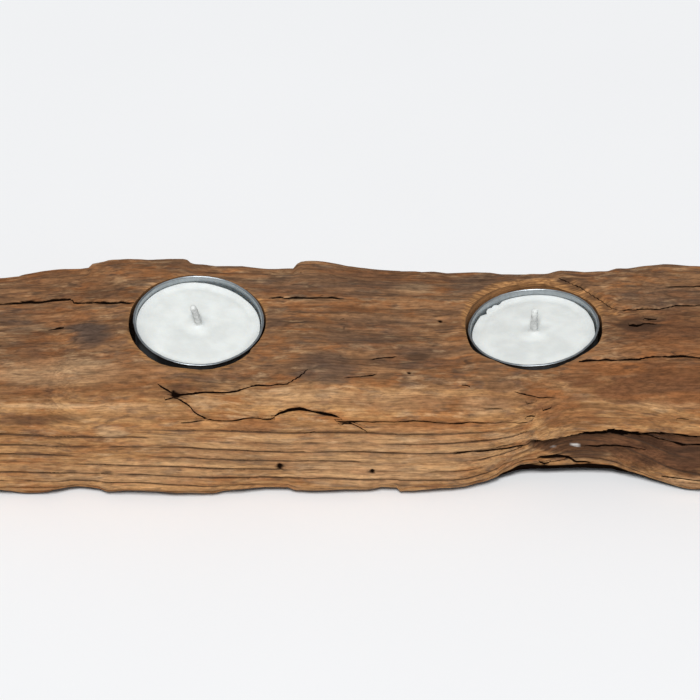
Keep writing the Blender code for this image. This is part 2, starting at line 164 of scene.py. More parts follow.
# Cracks and lifted edges: points of (X, rise, half width), then depth, and how much the
# wood above the line stands proud of the wood below it.
CRACKS = [
    ([(-150, 34.0, 0.2), (-105.5, 35.5, 0.3), (-94.8, 36.1, 0.3), (-90.5, 36.7, 0.3),
      (-85.2, 36.7, 0.25), (-84, 35.9, 0.3), (-65.7, 35.9, 0.3)], 1.3, 0.5),
    ([(-29.2, 37.3, 0.3), (-26.6, 37.7, 0.25), (-18.8, 37.5, 0.25), (-8.6, 37.5, 0.25),
      (-5.2, 37.3, 0.2)], 1.0, 0.3),
    ([(-19.6, 47.4, 0.5), (-17.8, 43.7, 0.4)], 1.2, 0.0),
    ([(-59.6, 13.6, 0.2), (-58.8, 12.6, 0.3), (-56.6, 11.3, 0.35), (-53.2, 9.4, 0.5)], 1.0, 0.0),
    ([(-55.5, 9.3, 0.5), (-51.5, 9.8, 0.5), (-47, 10.2, 0.35), (-35.4, 10.9, 0.26),
      (-29.5, 12.3, 0.24), (-21.9, 12.9, 0.28), (-18.2, 15.1, 0.26), (-15.1, 18.0, 0.2)],
     1.3, 0.25),
    ([(-55, 9.4, 0.4), (-51.4, 7.9, 0.35), (-49.0, 6.2, 0.28), (-48.3, 4.6, 0.28),
      (-45.3, 2.9, 0.28), (-42.7, 2.4, 0.28), (-35.4, 2.5, 0.3), (-26.6, 2.7, 0.35),
      (-24.6, 4.0, 0.4)], 1.4, 0.35),
    ([(-29.5, 2.6, 0.3), (-26.6, 2.9, 0.35), (-25.2, 3.9, 0.4), (-22.2, 5.3, 0.55),
      (-18.3, 5.7, 0.6), (-13.3, 4.5, 0.6), (-8, 3.5, 0.6), (-6.6, 3.3, 0.6)], 2.6, 0.8),
    ([(-8.4, 3.9, 0.45), (-7.7, 3.1, 0.4), (-7.2, 2.0, 0.45)], 1.0, 0.0),
    ([(-9.6, 2.2, 0.3), (-7, 2.1, 0.3), (0.8, 2.0, 0.3), (5, 1.8, 0.26), (18.1, 2.0, 0.28),
      (26.9, 1.1, 0.3), (29.7, 1.4, 0.26), (38.2, 1.2, 0.24)], 1.4, 0.35),
    ([(-8.3, -0.1, 0.25), (-6.6, 1.6, 0.25), (-3.6, 1.4, 0.3), (-0.6, -0.2, 0.25),
      (1.7, -1.6, 0.2)], 0.8, 0.1),
    ([(-17.9, -1.6, 0.2), (-13.6, -0.7, 0.2)], 0.6, 0.2),
    ([(-53.5, 1.7, 0.2), (-44.2, 2.3, 0.2)], 0.6, 0.2),
    ([(-58.0, 7.7, 0.2), (-56.2, 8.3, 0.3), (-53.5, 9.0, 0.3)], 0.8, 0.0),
    ([(-91.6, 27.7, 0.2), (-88.6, 28.3, 0.42), (-85.3, 28.6, 0.25)], 0.9, 0.3),
    ([(73, -1.3, 0.5), (80.6, -2.2, 0.45), (86, -3.7, 0.45), (90.7, -5.1, 0.55),
      (95.1, -5.0, 0.5), (110, -6.3, 0.3)], 2.4, 0.5),
    ([(47.4, -5.2, 0.35), (48.0, -3.6, 0.35), (50.4, -3.3, 0.35)], 1.0, 0.2),
    ([(48.6, -8.3, 0.45), (51.5, -8.6, 0.5), (55.5, -8.3, 0.5), (58.0, -8.7, 0.4),
      (60.7, -10.2, 0.35), (66.1, -10.4, 0.3)], 1.4, -0.4),
    ([(49.4, -9.6, 0.5), (51.8, -10.6, 0.7), (53.2, -9.7, 0.5)], 1.4, 0.0),
    ([(24, -7.5, 0.2), (40.2, -6.3, 0.25), (46.7, -4.6, 0.3)], 1.0, -0.3),
    ([(61.5, -5.4, 0.3), (66.4, -5.4, 0.5), (71.6, -4.9, 0.35), (81.7, -6.8, 0.25)],
     1.2, 0.3),
    ([(83.4, -13.8, 0.25), (91.9, -15.0, 0.28), (104, -16.5, 0.2)], 1.0, 0.2),
    ([(32.5, 5.5, 0.2), (39.9, 5.2, 0.3)], 0.9, 0.0),
    ([(41.2, 10.5, 0.2), (49.5, 8.9, 0.25), (54.6, 8.9, 0.2)], 0.7, 0.2),
    ([(45, 6.9, 0.2), (48.5, 7.5, 0.2)], 0.6, 0.0),
    ([(86.8, 2.9, 0.25), (93, 2.2, 0.2)], 0.7, 0.0),
    ([(59.7, 18.8, 0.3), (64, 19.4, 0.35), (71.6, 19.8, 0.35), (77.3, 19.7, 0.3),
      (82.8, 20.5, 0.3), (90.7, 20.5, 0.3), (99, 19.7, 0.25), (118, 18.5, 0.2)],
     1.4, 0.3),
    ([(72.6, 33.7, 0.25), (78.3, 33.9, 0.22), (85.3, 34.1, 0.22), (89.4, 35, 0.2),
      (96.3, 35, 0.2), (120, 34, 0.2)], 0.8, 0.25),
    ([(74.4, 29.0, 0.25), (76.4, 29.5, 0.7), (78.6, 29.3, 0.5), (80.6, 30.0, 0.3),
      (84.6, 29.8, 0.25)], 0.8, 0.2),
    ([(79.4, 31.4, 0.2), (81.4, 31.0, 0.4), (85.0, 31.3, 0.25)], 0.7, 0.2),
    ([(85.8, 40.5, 0.2), (96.8, 40.5, 0.2), (125, 39.5, 0.2)], 0.6, 0.1),
    ([(55.4, 43.6, 0.12), (57.5, 42.6, 0.22), (60, 41.4, 0.1), (62, 40.6, 0.2),
      (64.5, 38.9, 0.1), (66.5, 37.6, 0.2), (70.5, 34.9, 0.14), (74, 33.2, 0.1)], 0.6, 0.3),
    ([(26.4, 12.3, 0.2), (28.6, 12.0, 0.3), (31.0, 11.4, 0.2)], 0.6, 0.1),
    ([(35.5, 0.9, 0.2), (39.0, 1.5, 0.2), (43.5, 1.3, 0.2), (47.5, 2.0, 0.2)], 0.6, 0.1),
    ([(49.0, 5.0, 0.2), (51.5, 5.4, 0.28), (54.0, 6.3, 0.2)], 0.5, 0.1),
    ([(45.0, 3.3, 0.2), (47.0, 3.6, 0.3), (49.5, 3.4, 0.2)], 0.5, 0.1),
    ([(-7.5, 31.1, 0.2), (-5.2, 32.0, 0.2), (-4.6, 33.2, 0.2)], 0.6, 0.2),
    ([(-7.4, 14.7, 0.2), (-1.5, 14.8, 0.22), (4.4, 15.7, 0.2)], 0.6, 0.1),
    ([(0.3, 19.7, 0.2), (10.2, 20.5, 0.22)], 0.6, 0.2),
    ([(-140, 22.0, 0.2), (-126, 23.0, 0.35), (-112, 22.5, 0.2)], 1.4, 0.3),
    ([(104, 9.0, 0.2), (118, 8.0, 0.35), (137, 8.5, 0.2)], 1.3, 0.3),
    ([(-133, 9.5, 0.2), (-121, 8.6, 0.3), (-110, 8.9, 0.2)], 1.1, 0.3),
]
CRACK_TAPER = 2.5  # run over which a crack opens and closes
LIP_REACH = 3.5  # how far from a line its step in height is felt
CRACK_SOFTNESS = 0.14
CRACK_WIDTH = 0.68  # share of the widths above that is painted black, as the shade inside the crack
GROOVE_SHARE = 0.4  # share of the depths above that the surface follows
RING_SPACING, RING_GROOVE, RING_STEP, RING_GROOVE_WIDTH = 2.85, 0.75, 0.35, 0.34
FLAKE_STEPS, FLAKE_HEIGHT = 3.0, 0.5
FAR = 9.0  # kept where no crack is near
KNOT_PUSH, KNOT_PUSH_HEIGHT, KNOT_PUSH_LENGTH = 1.9, 4.5, 9.0  # of the rings, round it

# The split that the rotted hollow breaks back to (X, rise), how far the hollow reaches
# below it, and how high the black band of painted shadow between them stands.
SPLIT_EDGE = [
    (46.8, -3.6), (50.4, -3.3), (57.6, -1.9), (65, -0.2), (69.7, 0.5), (72.9, 0.1),
    (81.4, -0.7), (87.9, -0.9), (94.9, -1.7), (110, -3.2), (126, -5.0),
]
HOLLOW_REACH = [
    (46, 2.5), (56, 6.5), (64, 9.0), (72, 10.5), (84, 12.0), (95, 12.5), (112, 8.0),
    (126, 1.0),
]
SPLIT_SHADOW_HEIGHT = [
    (46, 0.25), (52, 0.4), (58, 0.55), (64, 0.8), (69, 1.3), (74, 1.5), (79, 0.9),
    (86, 0.6), (97, 0.6), (126, 0.4),
]
SPLIT_FROM, SPLIT_TO, SPLIT_FADE = 46.0, 126.0, 112.0  # ends of the split along X
SPLIT_LIP, HOLLOW_CUT = 0.8, 2.4  # how far the lip stands out and the hollow goes in
ARCH_MOUTH = ((26, 36), (88, 98))  # where the painted shade in the arch's mouth opens and closes

KNOT = (-53.8, 9.6)
PINHOLES = [(12.7, 15.7, 0.45), (22.0, 30.6, 0.5), (-24.3, -11.0, 0.9), (1.9, -12.6, 0.8)]

# Patches by X, rise, half length, half height and strength.
GREY_PATCHES = [
    (-79.5, 27.0, 7, 3.6, 1.3), (-100, 31, 12, 3.0, 0.5), (-11, 16.5, 9, 5.0, 0.75),
    (14, 21, 12, 4.0, 0.5), (2, 27, 14, 5.0, 0.5), (92, 26, 16, 4.0, 0.45),
    (-10, 41, 30, 4.0, 0.5), (88, 37, 14, 4.0, 0.6), (-30, 31, 7, 3.0, 0.5),
    (38, 41, 14, 3.0, 0.6), (86, 12, 12, 2.0, 0.4), (40, 12, 5, 2.0, 0.4),
]
DARK_PATCHES = [
    (78.5, 29.4, 6.0, 1.7, 1.0), (82.0, 31.0, 5.0, 1.2, 0.8), (57.8, 42.4, 2.6, 0.9, 0.9),
    (61.8, 40.5, 2.8, 1.0, 0.8), (66.4, 37.4, 2.6, 1.1, 0.8), (69.8, 35.2, 2.2, 0.8, 0.7),
    (15, 20.2, 3.6, 1.5, 0.9), (77.3, 29.2, 2.4, 0.6, 1.0), (81.6, 30.8, 3.4, 0.7, 1.0),
    (80, 29.9, 6.5, 1.6, 0.5), (-90.5, 27.8, 3.6, 0.8, 0.6),
    (-91, 2.6, 14, 1.6, 0.6), (-84, -12.3, 1.6, 0.5, 0.9), (-73.6, -12.7, 1.6, 0.5, 0.9),
    (10.9, -16.1, 2.4, 0.7, 0.8), (4.8, -15.2, 1.2, 0.4, 0.8), (-86.5, -2.7, 3.4, 0.5, 0.8),
    (-53.8, 10.5, 3.6, 2.6, 0.7), (-24.3, -11.0, 1.3, 1.2, 0.7), (1.9, -12.6, 1.2, 0.5, 1.0),
    (-72, 38.5, 9, 1.8, 0.5), (60, -4.0, 12, 1.5, 0.3), (-100, 20, 8, 1.6, 0.3),
    (95, -8.0, 12, 3.0, 0.5), (104, -10.5, 10, 2.0, 0.4),
    (-3, 34.5, 14, 1.4, 0.4), (47, 9.5, 5, 1.5, 0.3), (96, 15.5, 20, 1.4, 0.35),
]
ORANGE_PATCHES = [
    (71.5, 16.8, 8, 2.2, 1.0), (88, 8.6, 13, 1.7, 0.8), (50.5, 9.6, 7, 1.5, 0.8),
    (61, 4.3, 9, 1.1, 0.7), (-40, 0.4, 16, 1.9, 0.7), (16, 0.2, 14, 1.5, 0.8),
    (86, 22.5, 14, 3.2, 0.6), (-66, 14.0, 10, 4.0, 0.4), (-35, 26, 6, 5.0, 0.5),
    (55, 5.0, 8, 3.0, 0.5), (-88, 31.8, 8, 2.5, 0.6), (34, 30, 7, 6.0, 0.45),
    (-62, 32, 4, 6.0, 0.3), (92, 16, 12, 2.0, 0.4), (28, -3.0, 12, 1.2, 0.3),
]
PALE_PATCHES = [
    (-72, -1.0, 5, 1.6, 0.9), (-90, 6.4, 16, 0.8, 0.7), (-30, -6, 34, 7.0, 0.35),
    (6, -7, 32, 7.0, 0.45), (-20, 9.0, 16, 2.4, 0.4), (6, 8, 18, 3.0, 0.35),
    (-70, 6.0, 12, 1.5, 0.4), (35, 6.4, 8, 2.6, 0.5), (86, 7.0, 16, 1.6, 0.4),
    (-88, 16, 18, 4.0, 0.55), (-44, 7, 5, 1.6, 0.4), (2, -12.5, 26, 4.0, 0.6),
    (-60, -12, 34, 4.0, 0.4), (40, -2.5, 8, 1.6, 0.6), (100, -15.5, 16, 2.0, 0.6),
    (66, -7.6, 8, 0.7, 0.7), (-96, 27.8, 6, 1.2, 0.4), (14, 40, 6, 1.6, 0.5),
]
MINERAL_PATCHES = [
    (60.2, -4.9, 1.2, 0.45, 0.8), (54.2, -5.4, 0.5, 0.25, 0.6), (61.2, -5.4, 0.6, 0.3, 0.7),
]
UMBER_PATCHES = [
    (-93.4, 26.9, 3.0, 0.9, 1.0), (86, 12, 28, 6.5, 1.0), (94, 29, 20, 5.5, 0.8),
    (50, 8, 16, 5.5, 0.55), (10, 7.5, 20, 2.5, 0.25), (-35, -0.2, 16, 2.0, 0.6),
    (-95, 22, 10, 5.0, 0.5), (70, 5.0, 14, 3.0, 0.45), (-88, 40, 16, 5.0, 0.4),
    (-58, 9.6, 6, 1.2, 0.8), (-51, 11.0, 5, 1.6, 0.8), (-98, 2.8, 12, 1.8, 0.7),
    (60, 3.5, 12, 3.5, 0.5), (94, -8.5, 13, 4.0, 0.8), (78, -5.0, 8, 3.0, 0.6),
    (10, 45, 18, 3.0, 0.4), (-62, 4.0, 18, 2.0, 0.35), (-88, 10, 22, 3.0, 0.4),
    (-92, -6, 20, 7.0, 0.2),
]

# Recesses: radius, gap under the cup, and the way from the cup's middle to the hole's.
HOLE_RADIUS = 19.5
RECESS_REACH = 26.0  # nothing further from a light's axis belongs to its recess
SEAT_GAP = 0.3
HOLE_OFFSET = {"left": (-0.15, -0.15), "right": (0.0, -0.15)}
# Where each hole was drilled wider than its cup: bearing, spread and how much wider.
HOLE_BULGES = {
    "left": [(radians(238), 0.60, 2.1), (radians(200), 0.30, 0.4), (radians(290), 0.6, 1.0)],
    "right": [(radians(212), 0.26, 1.3), (radians(332), 0.30, 1.2), (radians(270), 0.5, 0.2)],
}
HOLE_ABOVE = 12.0  # how far the drilled cylinder reaches above the rim
HOLE_ROUGH = 0.16
HOLE_SEGMENTS = 160
CENTRE_MARK = 1.2  # depth of the mark that the drill's tip leaves
CUP_HEIGHT = 15.5
# Broken edge of each recess: bearing, spread, width and depth of each bite.
BITES = {
    "left": [
        (radians(228), 0.6, 1.8, 0.8), (radians(274), 0.8, 2.0, 1.1),
        (radians(20), 0.25, 1.2, 0.4),
    ],
    "right": [
        (radians(118), 0.9, 2.4, 1.0), (radians(170), 0.5, 1.5, 0.5),
        (radians(65), 0.5, 2.2, 0.9), (radians(25), 0.35, 1.7, 0.5),
    ],
}
# The ledge behind the right recess, where the top layer has broken away towards it.
CHIP_EDGE = [
    (52, 46.5), (55.5, 45.3), (60, 42.6), (65.2, 39.9), (68.5, 37.0), (71, 36.1), (73.5, 33.0),
]
CHIP_DROP, CHIP_RIM, CHIP_TOP = 1.1, 0.25, (42.0, 44.4)  # depth, standing edge, rise of its end

# Waves of noise: height, length along each axis and seed.
RING_WANDER = ((0.4, (42, 30, 30), 11), (0.14, (13, 9, 9), 12))
BROAD_WAVES = ((0.45, (30, 11, 11), 1), (0.25, (11, 6, 6), 2))
CRACK_JITTER = ((0.16, (1.9, 1, 1), 21), (0.3, (6.5, 1, 1), 22))
CHIP_JAG = ((1.1, (1.7, 1, 1), 81), (0.6, (0.6, 1, 1), 82))
RIM_FRAYING = ((0.25, (3, 2.5, 1), 91), (0.15, (1.4, 1.1, 1), 92))
# Of the fibres: length, width, height, and how much painted shade it puts low down.
FIBRE_WAVES = ((34, 1.9, 0.26, 1.0), (16, 0.95, 0.2, 0.8), (8, 0.5, 0.12, 0.5))
FIBRE_SEED = 61

# Shares of the weathering that are lost: of the rings on top and over the split, of rings
# and flakes and of fibres in the hollow, of everything at a recess's edge and underneath.
TOP_RING_LOSS, TOP_RING_RISE = 0.85, (0.4, 2.0)
SPLIT_RING_LOSS, SPLIT_RING_X = 0.7, (40, 50)
HOLLOW_LOSS, HOLLOW_FIBRE_LOSS, RECESS_LOSS, FOOT_LOSS = 0.75, 0.5, 0.75, 0.9

FLAKE_SHARE, FIBRE_SHADE = 0.9, 0.22  # of the flakes' height, and of the painted shade low between the fibres
TUCK_DEPTH, TUCK_SHADE, MOUTH_BULGE = 0.5, 0.75, 1.2  # of the edge under the front, whose shade is painted
SLOPE_STEP, LEAST_SLOPE = 0.05, 0.02  # for measuring how steeply the rings are crossed
AROUND_SCALE = 100.0  # mm round the pith for each radian

# Bands of the turn round the section, as (from, to) of the step at each side.
SEEN_BAND = ((2.2, 2.9), (13.4, 14.0))
TOP_BAND = ((6.8, 8.2), (13.2, 14.2))
UNDERSIDE_ENDS, UNDERSIDE_STARTS = (1.6, 2.6), (16.4, 17.2)
BACK_EDGE_BAND = ((11.4, 12.8), (13.6, 14.6))
FOOT_EDGE_BAND = ((2.4, 2.8), (3.1, 4.2))
# In these two bands the tucked edge and, in the arch's mouth, the underside are painted dark as
# shade.
TUCK_BAND = ((0.9, 1.6), (2.5, 2.72))
ARCH_BAND = ((0.1, 0.5), (2.5, 2.72))


# ---------------------------------------------------------------- numbers into shapes


def along(x, stations):
    """Smooth curve through the stations at x: a cubic in each span, level at every
    station that is a high or a low, so that nothing overshoots."""
    knots, values = np.array(stations, float).T
    rises = np.diff(values) / np.diff(knots)
    slopes = np.zeros(len(knots))
    turning = rises[:-1] * rises[1:] <= 0
    sums = np.where(turning, 1, rises[:-1] + rises[1:])
    slopes[1:-1] = np.where(turning, 0, 2 * rises[:-1] * rises[1:] / sums)
    span = np.clip(np.searchsorted(knots, x, side="right") - 1, 0, len(knots) - 2)
    width = knots[span + 1] - knots[span]
    t = (x - knots[span]) / width
    rise = 3 * t**2 - 2 * t**3
    return (
        values[span] * (1 - rise)
        + values[span + 1] * rise
        + width * slopes[span] * (t - 2 * t**2 + t**3)
        + width * slopes[span + 1] * (t**3 - t**2)
    )


def smooth_step(low, high, value):
    """0 below low, 1 above high, and a smooth S between."""
    t = np.clip((value - low) / (high - low), 0, 1)
    return t * t * (3 - 2 * t)


def band(value, opening, closing):
    """1 between the step up over the opening and the step down over the closing."""
    return smooth_step(*opening, value) * (1 - smooth_step(*closing, value))


def ridge(value, width, power=2):
    """A bump of height 1 at 0: e to the minus of (distance over width) to the power."""
    return np.exp(-((abs(value) / width) ** power))


def waves(table, a, b, c):
    """Sum of noises, each of its own height and of its own length along each axis."""
    total = 0.0
    for height, (long_a, long_b, long_c), seed in table:
        total = total + height * noise(a / long_a, b / long_b, c / long_c, seed)
    return total


def lattice(cells, seed):
    """A fixed random number from -1 to 1 for each whole-number cell: its three
    coordinates are multiplied by large odd numbers, added and scrambled twice."""
    bits = (cells[..., 0] * 374761393 + cells[..., 1] * 668265263).astype(np.int64)
    bits = bits + cells[..., 2] * 2147483647 + seed * 1274126177
    bits = ((bits ^ (bits >> 13)) * 1103515245) & 0x7FFFFFFF
    bits = ((bits ^ (bits >> 11)) * 12345701) & 0x7FFFFFFF
    bits = (bits ^ (bits >> 15)) & 0xFFFFFF
    return bits / 0x7FFFFF - 1.0


def noise(a, b, c, seed):
    """Smooth noise from -1 to 1: the lattice's values at a cell's eight corners, blended
    by how far the point lies along each side."""
    point = np.stack(np.broadcast_arrays(a, b, c), -1).astype(float)
    cell = np.floor(point).astype(np.int64)
    part = point - cell
    part = part * part * (3 - 2 * part)
    total = 0.0
    for corner in np.ndindex(2, 2, 2):
        share = np.prod(np.where(corner, part, 1 - part), -1)
        total = total + share * lattice(cell + np.array(corner), seed)
    return total


def fractal(a, b, c, seed, layers=3):
    """Sum of noises, each twice as fine and half as strong as the one before."""
    total, strength = 0.0, 1.0
    for layer in range(layers):
        fine = 2.0**layer
        total = total + strength * noise(a * fine, b * fine, c * fine, seed + layer)
        strength *= 0.5
    return total / (2 - 2 * strength)


# ---------------------------------------------------------------- meshes and objects


def new_mesh(name, points, faces):
    """Mesh of the points, in mm, and of the faces, given as arrays of corner numbers."""
    corners = np.concatenate([part.ravel() for part in faces])
    sizes = np.concatenate([np.full(len(part), part.shape[1]) for part in faces])
    mesh = bpy.data.meshes.new(name)
    mesh.vertices.add(len(points))
    mesh.vertices.foreach_set("co", (points * MM).astype(np.float32).ravel())
    mesh.loops.add(len(corners))
    mesh.loops.foreach_set("vertex_index", corners.astype(np.int32))
    mesh.polygons.add(len(sizes))
    starts = np.concatenate([[0], np.cumsum(sizes)[:-1]])
    mesh.polygons.foreach_set("loop_start", starts.astype(np.int32))
    mesh.update(calc_edges=True)
    return mesh


def grid_faces(rows, columns, wrap_rows=False):
    """Quads between neighbouring points of a grid numbered row by row, whose rows close
    on themselves, and whose last row joins the first where that is asked for."""
    row = np.arange(rows if wrap_rows else rows - 1)
    i, j = np.meshgrid(row, np.arange(columns), indexing="ij")
    k, m = (i + 1) % rows, (j + 1) % columns
    quads = [i * columns + j, i * columns + m, k * columns + m, k * columns + j]
    return np.stack(quads, -1).reshape(-1, 4)


def fan(centre, ring, turned=False):
    """Triangles from a centre point to a closed ring of points."""
    after = np.roll(ring, -1)
    middle = np.full(len(ring), centre)
    return np.stack([middle, after, ring] if turned else [middle, ring, after], -1)


def closed_tube(rings, segments):
    """Faces of rings of points in one grid, closed by a fan at each end to the two
    points that follow the grid."""
    first, count = np.arange(segments), rings * segments
    low = fan(count, first, turned=True)
    return [grid_faces(rings, segments), low, fan(count + 1, first + count - segments)]


def vertices_of(mesh):
    """The mesh's points as rows of X, Y and Z, in mm."""
    flat = np.empty(len(mesh.vertices) * 3, np.float32)
    mesh.vertices.foreach_get("co", flat)
    return flat.reshape(-1, 3).astype(float) / MM


def keep_values(mesh, name, values):
    """Stores one number, or three, for each point of the mesh under that name."""
    kind = "FLOAT" if values.ndim == 1 else "FLOAT_VECTOR"
    attribute = mesh.attributes.new(name, kind, "POINT")
    key = "value" if values.ndim == 1 else "vector"
    attribute.data.foreach_set(key, values.astype(np.float32).ravel())


def add_piece(name, mesh, body, nodes, materials, sharp=radians(50)):
    """Puts the mesh into the scene as a piece that rides on the body, takes its finish
    from the slot and stands for the nodes."""
    piece = bpy.data.objects.new(name, mesh)
    bpy.context.scene.collection.objects.link(piece)
    for finish in materials:
        mesh.materials.append(finish)
    mesh.shade_smooth()
    mesh.set_sharp_from_angle(angle=sharp)
    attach(piece, body)
    if nodes:
        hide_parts(*nodes)
    return piece


# ---------------------------------------------------------------- where the lights are


def light_frame(side):
    """Where a light stands, in mm: the centre of its cup's rim, and the directions
    across, back and up its axis as the rows of a matrix."""
    joint = next(j for j in frame["joints"] if j["name"] == f"{side}_cup_lift")
    up = np.array(joint["axis"], float)
    up = up / np.linalg.norm(up)
    across = np.cross((0.0, 1.0, 0.0), up)
    across = across / np.linalg.norm(across)
    points = vertices_of(frame["nodes"][f"{side}_cup"].data)
    heights = points @ up
    rim = np.unique(np.round(points[heights > heights.max() - 0.02], 2), axis=0)
    return rim.mean(0), np.array([across, np.cross(up, across), up])


def light_local(side, points):
    """The points as seen from the light: across, back and up from its rim's centre."""
    centre, directions = light_frame(side)
    return (points - centre) @ directions.T


def light_world(side, points):
    """The reverse of light_local."""
    centre, directions = light_frame(side)
    return centre + points @ directions


# ---------------------------------------------------------------- the block's base form


def outline_at(x, turn):
    """Points of the block's section at each X and turn, as Y and Z in mm, and the
    outward direction there: a Catmull-Rom curve round the outline's control points."""
    share, height, from_crown, lift, setback, hollowed = OUTLINE.T
    column = x[:, None]
    depth = np.where(share < 0, along(column, FRONT), along(column, BACK))
    arch, hollow = along(column, ARCH), along(column, HOLLOW)
    control = np.stack([
        share * depth + setback * arch * ARCH_SETBACK + hollowed * hollow * HOLLOW_DEPTH,
        height + from_crown * along(column, CROWN) + lift * arch * ARCH_LIFT,
    ], -1)
    row, span = np.arange(len(x)), np.floor(turn).astype(int)
    t = (turn - span)[:, None]
    p0, p1, p2, p3 = (control[row, (span + k) % TURNS] for k in (-1, 0, 1, 2))
    a, b, c = p2 - p0, 2 * p0 - 5 * p1 + 4 * p2 - p3, 3 * p1 - p0 - 3 * p2 + p3
    point = 0.5 * (2 * p1 + a * t + b * t**2 + c * t**3)
    tangent = 0.5 * (a + 2 * b * t + 3 * c * t**2)
    tangent = tangent / np.linalg.norm(tangent, axis=1, keepdims=True)
    return point, np.stack([-tangent[:, 1], tangent[:, 0]], -1)


def end_scale(x):
    """Share of the section left at x: 1 along the body, less in each worn end."""
    into_end = np.clip((abs(x) - HALF_LENGTH + END_RUN) / END_RUN, 0, 1)
    return 1 - END_SHRINK * into_end**3


def row_turns():
    """Turns of the mesh's rows: spaced by the length of the middle section's outline,
    closest on front and top, wider on the back and widest underneath."""
    turn = np.linspace(0, TURNS, 3801)
    points, _ = outline_at(np.zeros_like(turn), turn % TURNS)
    step = np.linalg.norm(np.diff(points, axis=0), axis=1)
    middle = (turn[1:] + turn[:-1]) / 2
    face = (middle > FACE_START) & (middle < FACE_END)
    back = (middle >= FACE_END) & (middle < BACK_END)
    density = np.where(face, 1 / FACE_SPACING, np.where(back, 1 / BACK_SPACING, 1 / FOOT_SPACING))
    count = np.concatenate([[0], np.cumsum(step * density)])
    rows = int(count[-1])
    return np.interp(np.arange(rows) / rows * count[-1], count, turn)


def column_places():
    """X of the mesh's columns, the share of the section left in each, and how far its
    surface has turned to face the end: each end closes in rings round its centre."""
    ends = HALF_LENGTH - END_RUN
    left = np.linspace(-ends, FINE_FROM, int((ends + FINE_FROM) / END_SPACING), endpoint=False)
    near = np.arange(FINE_FROM, FINE_TO, COLUMN_SPACING)
    right = np.linspace(FINE_TO, ends, int((ends - FINE_TO) / END_SPACING))
    body = np.concatenate([left, near, right])
    rings = len(CAP_RINGS)
    end_x = np.concatenate([ends + np.array(END_STEPS), np.full(rings, HALF_LENGTH)])
    plain = len(END_STEPS) - len(END_ROUNDING)
    end_share = np.concatenate([np.ones(plain), END_ROUNDING, CAP_RINGS])
    plain = len(END_STEPS) - len(END_TURNING)
    end_turned = np.concatenate([np.zeros(plain), END_TURNING, np.ones(rings)])
    x = np.concatenate([-end_x[::-1], body, end_x])
    share = np.concatenate([end_share[::-1], np.ones(len(body)), end_share])
    turned = np.concatenate([end_turned[::-1], np.zeros(len(body)), end_turned])
    return x, share, turned


def base_block():
    """The smooth block as a closed grid, columns along X by rows round the section, and
    the centre of each end. Its map "grain" holds each corner's column and turn."""
    x, share, _ = column_places()
    turn = row_turns()
    columns, rows = len(x), len(turn)
    all_x, all_turn = np.repeat(x, rows), np.tile(turn, columns)
    outline, _ = outline_at(all_x, all_turn)
    scale = (end_scale(all_x) * np.repeat(share, rows))[:, None]
    centre = np.array([0.0, END_CENTRE_Z])
    outline = centre + (outline - centre) * scale
    outline[:, 1] = np.maximum(outline[:, 1], 0.0)
    points = np.column_stack([all_x, outline])
    points = np.vstack([points, [-HALF_LENGTH, *centre], [HALF_LENGTH, *centre]])
    quads = grid_faces(columns, rows)[:, ::-1]
    first, last = np.arange(rows), np.arange(rows) + (columns - 1) * rows
    faces = [quads, fan(len(points) - 2, first, turned=True), fan(len(points) - 1, last)]
    mesh = new_mesh("driftwood", points, faces)
    corners = np.concatenate([part.ravel() for part in faces])
    column, row = corners // rows, corners % rows
    spans_seam = np.concatenate([
        np.repeat((part % rows).max(1) - (part % rows).min(1) > 1, part.shape[1])
        for part in faces
    ])
    corner_turn = np.where(spans_seam & (row == 0), TURNS, turn[row])
    tips = corners >= columns * rows
    column = np.where(corners == len(points) - 2, 0, np.where(tips, columns - 1, column))
    grain = mesh.uv_layers.new(name="grain")
    pairs = np.column_stack([column, np.where(tips, 0, corner_turn)])
    grain.data.foreach_set("uv", pairs.astype(np.float32).ravel())
    return mesh


def recess_form(side):
    """The hole to be cut, as a closed grid of rings: a floor with the drill's centre mark
    and its scratches, and a wall whose radius wanders a little with angle and height."""
    angle = np.arange(HOLE_SEGMENTS) / HOLE_SEGMENTS * tau
    floor = np.linspace(0.12, 0.98, 8) * HOLE_RADIUS
    wall = np.linspace(0.3, 1.0, 12)
    foot = -CUP_HEIGHT - SEAT_GAP
    radius = np.concatenate([floor, np.full(len(wall), HOLE_RADIUS), [HOLE_RADIUS * 0.5]])
    wider = bearing_bumps(angle, HOLE_BULGES[side])
    height = np.concatenate([
        np.full(len(floor), foot), foot + (wall - 0.3) / 0.7 * (HOLE_ABOVE - foot), [HOLE_ABOVE],
    ])
    ring, turned = np.meshgrid(np.arange(len(radius)), angle, indexing="ij")
    seed = 70 + SIDES.index(side)
    rough = fractal(4 * np.cos(turned), 4 * np.sin(turned), height[ring] / 5, seed)
    fine = noise(14 * np.cos(turned), 14 * np.sin(turned), height[ring] / 3, seed + 5)
    on_wall = (radius[ring] > 0.99 * HOLE_RADIUS).astype(float)
    r = radius[ring] + on_wall * (wider + HOLE_ROUGH * abs(rough) + 0.5 * HOLE_ROUGH * abs(fine))
    z = height[ring] - (1 - on_wall) * 0.12 * (rough < 0)
    points = np.stack([r * np.cos(turned), r * np.sin(turned), z], -1).reshape(-1, 3)
    ends = np.array([[0, 0, foot - CENTRE_MARK], [0, 0, HOLE_ABOVE]])
    offset = np.array([*HOLE_OFFSET[side], 0.0])
    points = light_world(side, np.vstack([points, ends]) + offset)
    mesh = new_mesh(f"{side}_recess", points, closed_tube(len(radius), HOLE_SEGMENTS))
    grain = mesh.uv_layers.new(name="grain")
    grain.data.foreach_set("uv", np.full(len(mesh.loops) * 2, -1.0, np.float32))
    return mesh


